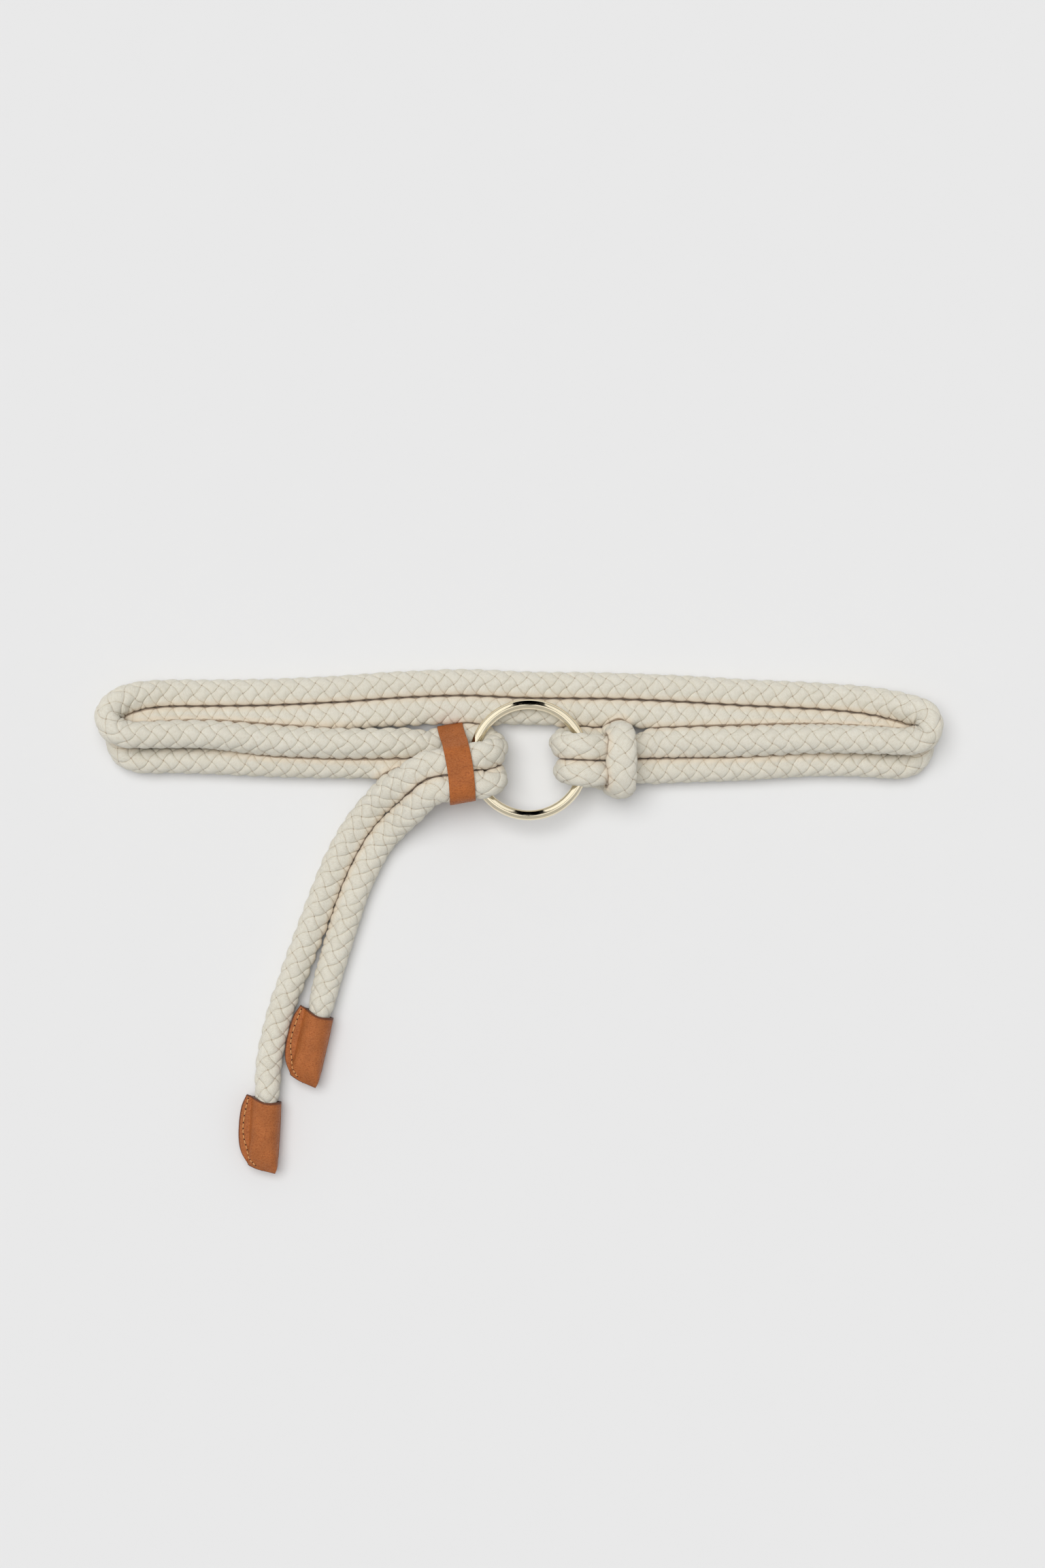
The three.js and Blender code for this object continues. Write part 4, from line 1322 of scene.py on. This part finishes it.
def keeper_leather():
    """The keeper: one strip of hide round four thicknesses of rope, lapped over itself."""
    path, _ = keeper_strip_path()
    columns, rows = STRIP_GRID
    spots = evenly(path, columns + 1)

    def place(u, v):
        across, z = spots[round(u * columns)]
        return keeper_point((v - 0.5) * (KEEPER_LENGTH - STRIP_TRIM), across, z)

    obj = grid("keeper_leather", columns, rows, place)
    wear(obj, keeper_material(), raw_edge_material())
    with_modifier(obj, "SOLIDIFY", thickness=LEATHER, offset=0.0, use_rim=True,
                  material_offset_rim=1)
    with_modifier(obj, "BEVEL", width=0.00025, segments=2, limit_method="ANGLE",
                  angle_limit=math.radians(50))
    outwards(obj)
    smooth(obj, 45)
    settle(obj)
    return obj


def keeper_seam():
    """Four stitches through the keeper's lap."""
    path, out = keeper_strip_path()
    lap_middle = Vector(path[-2]) + out * (LEATHER / 2)
    up = keeper_point(0, out.x, out.y) - keeper_point(0, 0, 0)
    up.normalize()
    holes = []
    for i in range(KEEPER_STITCHES + 1):
        along = (i / KEEPER_STITCHES - 0.5) * KEEPER_SEAM
        holes.append(keeper_point(along, lap_middle.x, lap_middle.y) + up * HOLE_LIFT)
    return row_of_stitches("keeper_stitching", holes, [up] * len(holes), KEEPER_THREAD,
                           keeper_thread_material(), hole_material())


# ---- Ring ----

WELD_SPAN = math.radians(0.9)  # each way from the middle of the weld, at -X
WELD_HEIGHT = 0.985  # of the wire's


def gold_ring():
    """A round-wire ring with a fine ground-flush weld across it."""
    alone(None)
    bpy.ops.mesh.primitive_torus_add(major_segments=192, minor_segments=40, major_radius=RING_R,
                                     minor_radius=WIRE_R, location=RING_AT)
    obj = bpy.context.object
    obj.name = "polished_ring"
    bpy.ops.object.mode_set(mode="EDIT")
    work = bmesh.from_edit_mesh(obj.data)
    for vertex in work.verts:
        angle = math.atan2(vertex.co.y, vertex.co.x)
        vertex.select_set(abs(abs(angle) - math.pi) < WELD_SPAN)
    work.select_flush(True)
    bmesh.update_edit_mesh(obj.data)
    bpy.ops.transform.resize(value=(1, 1, WELD_HEIGHT), center_override=RING_AT)
    bpy.ops.object.mode_set(mode="OBJECT")
    smooth(obj, 60)
    settle(obj)
    return obj


# ---- Materials in use ----

MADE = {}


def once(name, make):
    """A material that is made the first time it is asked for."""
    if name not in MADE:
        MADE[name] = make()
    return MADE[name]


def cotton_material():
    return once("cotton", cotton_look)


def tip_material():
    return once("tip", lambda: leather_look("tan_tip_hide", belt().tip_hide, belt().pebble_shade, 2100.0))


def keeper_material():
    return once("keeper", lambda: leather_look("tan_keeper_hide", belt().keeper_hide,
                                               belt().pebble_shade, 1900.0))


def edge_material():
    return once("edge", lambda: edge_look("edge_paint", (0.055, 0.018, 0.010), (0.19, 0.065, 0.028)))


def raw_edge_material():
    return once("raw_edge", lambda: edge_look("raw_edge", (0.20, 0.075, 0.028), (0.46, 0.24, 0.12)))


def tip_thread_material():
    return once("tip_thread", lambda: thread_look("orange_thread", (0.78, 0.38, 0.14)))


def keeper_thread_material():
    return once("keeper_thread", lambda: thread_look("ochre_thread", (0.55, 0.27, 0.10)))


def hole_material():
    return once("hole", needle_hole_look)


# ---- Settings ----


class RopeBeltSettings(bpy.types.PropertyGroup):
    """Sizes and colours of the belt."""

    pitch: FloatProperty(name="Pitch", description="Length in which a strand winds once round",
                         default=0.0322, unit="LENGTH")
    cell_steps: IntProperty(name="Cell steps", description="Faces across one plaited cell", default=10)
    groove: FloatProperty(name="Groove", description="Depth between strands", default=0.0009,
                          unit="LENGTH")
    proud: FloatProperty(name="Crown", description="A crown's height over the nominal rope",
                         default=0.0003, unit="LENGTH")
    bow: FloatProperty(name="Bow", description="How much a cell's sides bow, as a share of it",
                       default=0.07)
    unevenness: FloatProperty(name="Unevenness", description="Irregularity of the plait", default=0.055)
    yarns: IntProperty(name="Yarns", description="Yarns laid side by side in a strand", default=12)
    seam_stitches: IntProperty(name="Tip stitches", description="Stitches along a tip's flange",
                               default=13)
    cotton: FloatVectorProperty(name="Cotton", description="Yarn crowns", subtype="COLOR",
                                default=(0.86, 0.835, 0.74))
    cotton_shade: FloatVectorProperty(name="Cotton shade", description="Duller yarns", subtype="COLOR",
                                      default=(0.78, 0.745, 0.63))
    # Painted shade in the grooves and between the yarns; also the yarns' darker streaks.
    cotton_groove_shade_and_streak: FloatVectorProperty(name="Cotton groove shade and streak", description="Between strands",
                                       subtype="COLOR", default=(0.52, 0.40, 0.26))
    # Painted shade in the gaps where four strands meet.
    cotton_gap_shade: FloatVectorProperty(name="Cotton gap shade", description="Where four strands meet",
                                    subtype="COLOR", default=(0.20, 0.14, 0.08))
    # Painted warm shade close beside another turn.
    cotton_near_turn_shade: FloatVectorProperty(name="Cotton near-turn shade", description="Close beside another turn",
                                     subtype="COLOR", default=(0.79, 0.64, 0.46))
    # Painted shade where turns touch.
    cotton_contact_shade: FloatVectorProperty(name="Cotton contact shade", description="Where turns touch",
                                        subtype="COLOR", default=(0.30, 0.20, 0.12))
    gold: FloatVectorProperty(name="Gold", description="Ring plating", subtype="COLOR",
                              default=(0.93, 0.83, 0.62))
    tip_hide: FloatVectorProperty(name="Tip hide", description="End tips", subtype="COLOR",
                                  default=(0.400, 0.122, 0.030))
    # Painted shade between the leather's pebbles.
    pebble_shade: FloatVectorProperty(name="Pebble shade", description="Between the pebbles",
                                  subtype="COLOR", default=(0.25, 0.062, 0.014))
    keeper_hide: FloatVectorProperty(name="Keeper hide", description="Keeper", subtype="COLOR",
                                     default=(0.405, 0.118, 0.024))


class RopeStageSettings(bpy.types.PropertyGroup):
    """The floor, lights and camera."""

    floor: FloatVectorProperty(name="Floor", description="Surface below", subtype="COLOR",
                               default=(0.83, 0.83, 0.83))
    camera_height: FloatProperty(name="Camera height", description="Over the ring", default=1.6,
                                 unit="LENGTH")
    field: FloatProperty(name="Field", description="Length of the view at the ring", default=0.7765,
                         unit="LENGTH")
    key: FloatProperty(name="Key light", description="Soft light from above", default=2.03)
    key_spread: FloatProperty(name="Key spread", description="Degrees across the key light",
                              default=46)
    surround: FloatProperty(name="Surround", description="Light from all round", default=0.36)
    room: FloatProperty(name="Room", description="Glow of the room in the metal", default=0.50)
    left_box: FloatProperty(name="Left soft box", description="Its glow over the room's",
                            default=0.62)
    right_box: FloatProperty(name="Right soft box", description="Its glow over the room's",
                             default=0.50)


def stage_settings():
    """The stage's settings on the scene."""
    return bpy.context.scene.rope_stage


# ---- Operators ----

# The rope is cut into pieces where the cuts are hidden: under the keeper and in the bight.
TAIL_A_CUT = ROPE.nearest(keeper_point(-0.002, TAIL_A, OVER_Z))
TAIL_B_CUT = ROPE.nearest(keeper_point(-0.002, TAIL_B, OVER_Z))
BIGHT_AT = ROPE.nearest(RING_FOOT + Vector((0.0462, -0.0002, 0.0282)))
BEND_ROOM = 0.028  # each way from a tail's joint


def attach(obj, body, node):
    """Fixes a piece to a body, in the place of a CAD node."""
    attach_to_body(obj, body)
    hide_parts(node)


def declared_rope(obj, start, end, far_end, with_pieces=(), backwards=False):
    """Works out the rope's path from where a piece leaves the keeper or the bight, turned round if
    backwards; nothing more is done with it.
    """
    path = ROPE.path(start, end)
    if backwards:
        path = path[::-1]
    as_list(with_pieces)


def bend_at(obj, body, backwards):
    """Works out the rope's points either side of a tail's joint, which nothing then uses, and moves the
    rope's place into its mesh.
    """
    pivot = PIVOT_A if body == "tail_a" else PIVOT_B
    at = ROPE.nearest(RING_FOOT + Vector(pivot[:3]))
    sign = -1 if backwards else 1
    start = ROPE.sample(ROPE.at, np.array([at - sign * BEND_ROOM]))[0]
    end = ROPE.sample(ROPE.at, np.array([at + sign * BEND_ROOM]))[0]
    start[2] = end[2] = LIE_Z
    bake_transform(obj)


class BELT_OT_waist_rope(bpy.types.Operator):
    """Plaits the waist rope in two halves that meet in the bight over the hitch"""

    bl_idname = "rope_belt.waist_rope"
    bl_label = "Waist rope"

    def execute(self, context):
        """Makes both halves."""
        spans = {"waist_rope_a": (TAIL_A_CUT, BIGHT_AT), "waist_rope_b": (BIGHT_AT, TAIL_B_CUT)}
        for name, (start, end) in spans.items():
            rope = plait(name, ROPE, start, end)
            wear(rope, cotton_material())
            attach(rope, "waist", "waist_rope_cover")
            declared_rope(rope, start, end, "object")
        return {"FINISHED"}


class BELT_OT_tails(bpy.types.Operator):
    """Plaits both tails, with their leather tips and stitching"""

    bl_idname = "rope_belt.tails"
    bl_label = "Tails and tips"

    def execute(self, context):
        """Makes each tail from the keeper to its tip."""
        for letter, end, cut, backwards in (("a", END_A, TAIL_A_CUT, True),
                                            ("b", END_B, TAIL_B_CUT, False)):
            body = f"tail_{letter}"
            leather = tip_leather(f"tip_{letter}_leather", end)
            attach(leather, body, f"{body}_tip")
            seam = tip_seam(f"tip_{letter}_stitching", end)
            attach(seam, body, f"{body}_tip_thread")
            span = (0.0, cut) if backwards else (cut, ROPE.length)
            rope = plait(f"{body}_rope", ROPE, *span)
            wear(rope, cotton_material())
            bend_at(rope, body, backwards)
            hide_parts(f"{body}_cover")
            declared_rope(rope, *span, "fitting", [leather, seam], backwards)
        return {"FINISHED"}


class BELT_OT_ring(bpy.types.Operator):
    """Turns the polished ring"""

    bl_idname = "rope_belt.ring"
    bl_label = "Ring"

    def execute(self, context):
        """Makes the ring."""
        ring = gold_ring()
        wear(ring, once("gold", gold_look))
        attach(ring, "ring", "ring")
        return {"FINISHED"}


class BELT_OT_keeper(bpy.types.Operator):
    """Wraps, laps and sews the leather keeper"""

    bl_idname = "rope_belt.keeper"
    bl_label = "Keeper"

    def execute(self, context):
        """Makes the strip and its stitches."""
        leather = keeper_leather()
        attach(leather, "keeper", "keeper_band")
        seam = keeper_seam()
        attach(seam, "keeper", "keeper_thread")
        return {"FINISHED"}


class BELT_OT_inner_pieces(bpy.types.Operator):
    """Dresses the rope's filler and the binding on its cut ends"""

    bl_idname = "rope_belt.inner_pieces"
    bl_label = "Filler and binding"

    def execute(self, context):
        """Gives the hidden nodes their materials."""
        filler = filler_look("cotton_filler", (0.72, 0.67, 0.56))
        tape = filler_look("binding_tape", (0.62, 0.55, 0.42))
        for name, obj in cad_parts.items():
            if name.endswith("_core"):
                wear(obj, filler)
            elif name.endswith("_end_tape"):
                wear(obj, tape)
        return {"FINISHED"}


FLOOR_SIZE = 30
FLOOR_Z = -0.0001
DOME_RADIUS = 6
KEY_FROM = (-0.17, 0.21, 1)
SENSOR_WIDTH = 36  # millimetres
VIEW_OFFSET = (-0.0032, -0.0120)  # middle of the view, from the ring's centre


class BELT_OT_stage(bpy.types.Operator):
    """Sets the pale floor, the soft lights and the camera"""

    bl_idname = "rope_belt.stage"
    bl_label = "Stage"

    def execute(self, context):
        """Makes the floor, lights and camera."""
        self.floor()
        self.lights()
        self.mirror_room()
        self.camera()
        return {"FINISHED"}

    def floor(self):
        """A matt plane just below the belt."""
        alone(None)
        bpy.ops.mesh.primitive_plane_add(size=FLOOR_SIZE, location=(0, 0, FLOOR_Z))
        floor = bpy.context.object
        floor.name = "paper_floor"
        wear(floor, once("paper", paper_look))
        settle(floor)
        floor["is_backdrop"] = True

    def lights(self):
        """An even pale room and one broad soft light from above, a little to the upper left."""
        stage = stage_settings()
        world = bpy.data.worlds.new("soft_surround")
        world.use_nodes = True
        background = world.node_tree.nodes["Background"]
        background.inputs["Color"].default_value = (1.0, 1.0, 1.0, 1.0)
        background.inputs["Strength"].default_value = stage.surround
        bpy.context.scene.world = world
        data = bpy.data.lights.new("key_light", "SUN")
        data.energy = stage.key
        data.angle = math.radians(stage.key_spread)
        lamp = bpy.data.objects.new("key_light", data)
        lamp.rotation_euler = Vector(KEY_FROM).to_track_quat("Z", "Y").to_euler()
        lamp.visible_glossy = False
        bpy.context.scene.collection.objects.link(lamp)

    def mirror_room(self):
        """What polished metal mirrors: two soft boxes in a pale room, with a dark gap between."""
        alone(None)
        bpy.ops.mesh.primitive_uv_sphere_add(segments=32, ring_count=16, radius=DOME_RADIUS)
        dome = bpy.context.object
        dome.name = "mirror_room"
        wear(dome, once("mirror_room", mirror_room_look))
        for kind in ("camera", "diffuse", "transmission", "volume_scatter", "shadow"):
            setattr(dome, f"visible_{kind}", False)
        settle(dome)
        dome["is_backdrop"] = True

    def camera(self):
        """Looks straight down."""
        stage = stage_settings()
        data = bpy.data.cameras.new("camera")
        camera = bpy.data.objects.new("camera", data)
        bpy.context.scene.collection.objects.link(camera)
        data.sensor_width = SENSOR_WIDTH
        data.angle = 2 * math.atan(stage.field / 2 / stage.camera_height)
        camera.location = RING_AT + Vector((VIEW_OFFSET[0], VIEW_OFFSET[1], stage.camera_height))
        bpy.context.scene.camera = camera


class BELT_PT_panel(bpy.types.Panel):
    """The belt's settings and operators"""

    bl_idname = "BELT_PT_panel"
    bl_label = "Rope belt"
    bl_space_type = "VIEW_3D"
    bl_region_type = "UI"
    bl_category = "Rope Belt"

    def draw(self, context):
        """Lists the settings, then the operators in order."""
        for settings in (context.scene.rope_belt, context.scene.rope_stage):
            for name in settings.__annotations__:
                self.layout.prop(settings, name)
        for one in OPERATORS:
            self.layout.operator(one.bl_idname)


OPERATORS = (
    BELT_OT_stage,
    BELT_OT_waist_rope,
    BELT_OT_tails,
    BELT_OT_ring,
    BELT_OT_keeper,
    BELT_OT_inner_pieces,
)
CLASSES = (RopeBeltSettings, RopeStageSettings) + OPERATORS + (BELT_PT_panel,)


def register():
    for one in CLASSES:
        bpy.utils.register_class(one)
    bpy.types.Scene.rope_belt = PointerProperty(type=RopeBeltSettings)
    bpy.types.Scene.rope_stage = PointerProperty(type=RopeStageSettings)


def unregister():
    del bpy.types.Scene.rope_stage
    del bpy.types.Scene.rope_belt
    for one in reversed(CLASSES):
        bpy.utils.unregister_class(one)


def main():
    """Builds the whole scene."""
    register()
    bpy.context.scene.view_settings.view_transform = "Standard"
    for one in OPERATORS:
        group, name = one.bl_idname.split(".")
        getattr(getattr(bpy.ops, group), name)()
    sizes = {"cad": CAD_BOX, "visual": [list(corner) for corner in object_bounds()]}
    sizes = {key: [[round(v, 6) for v in corner] for corner in box] for key, box in sizes.items()}


if __name__ == "__main__":
    main()
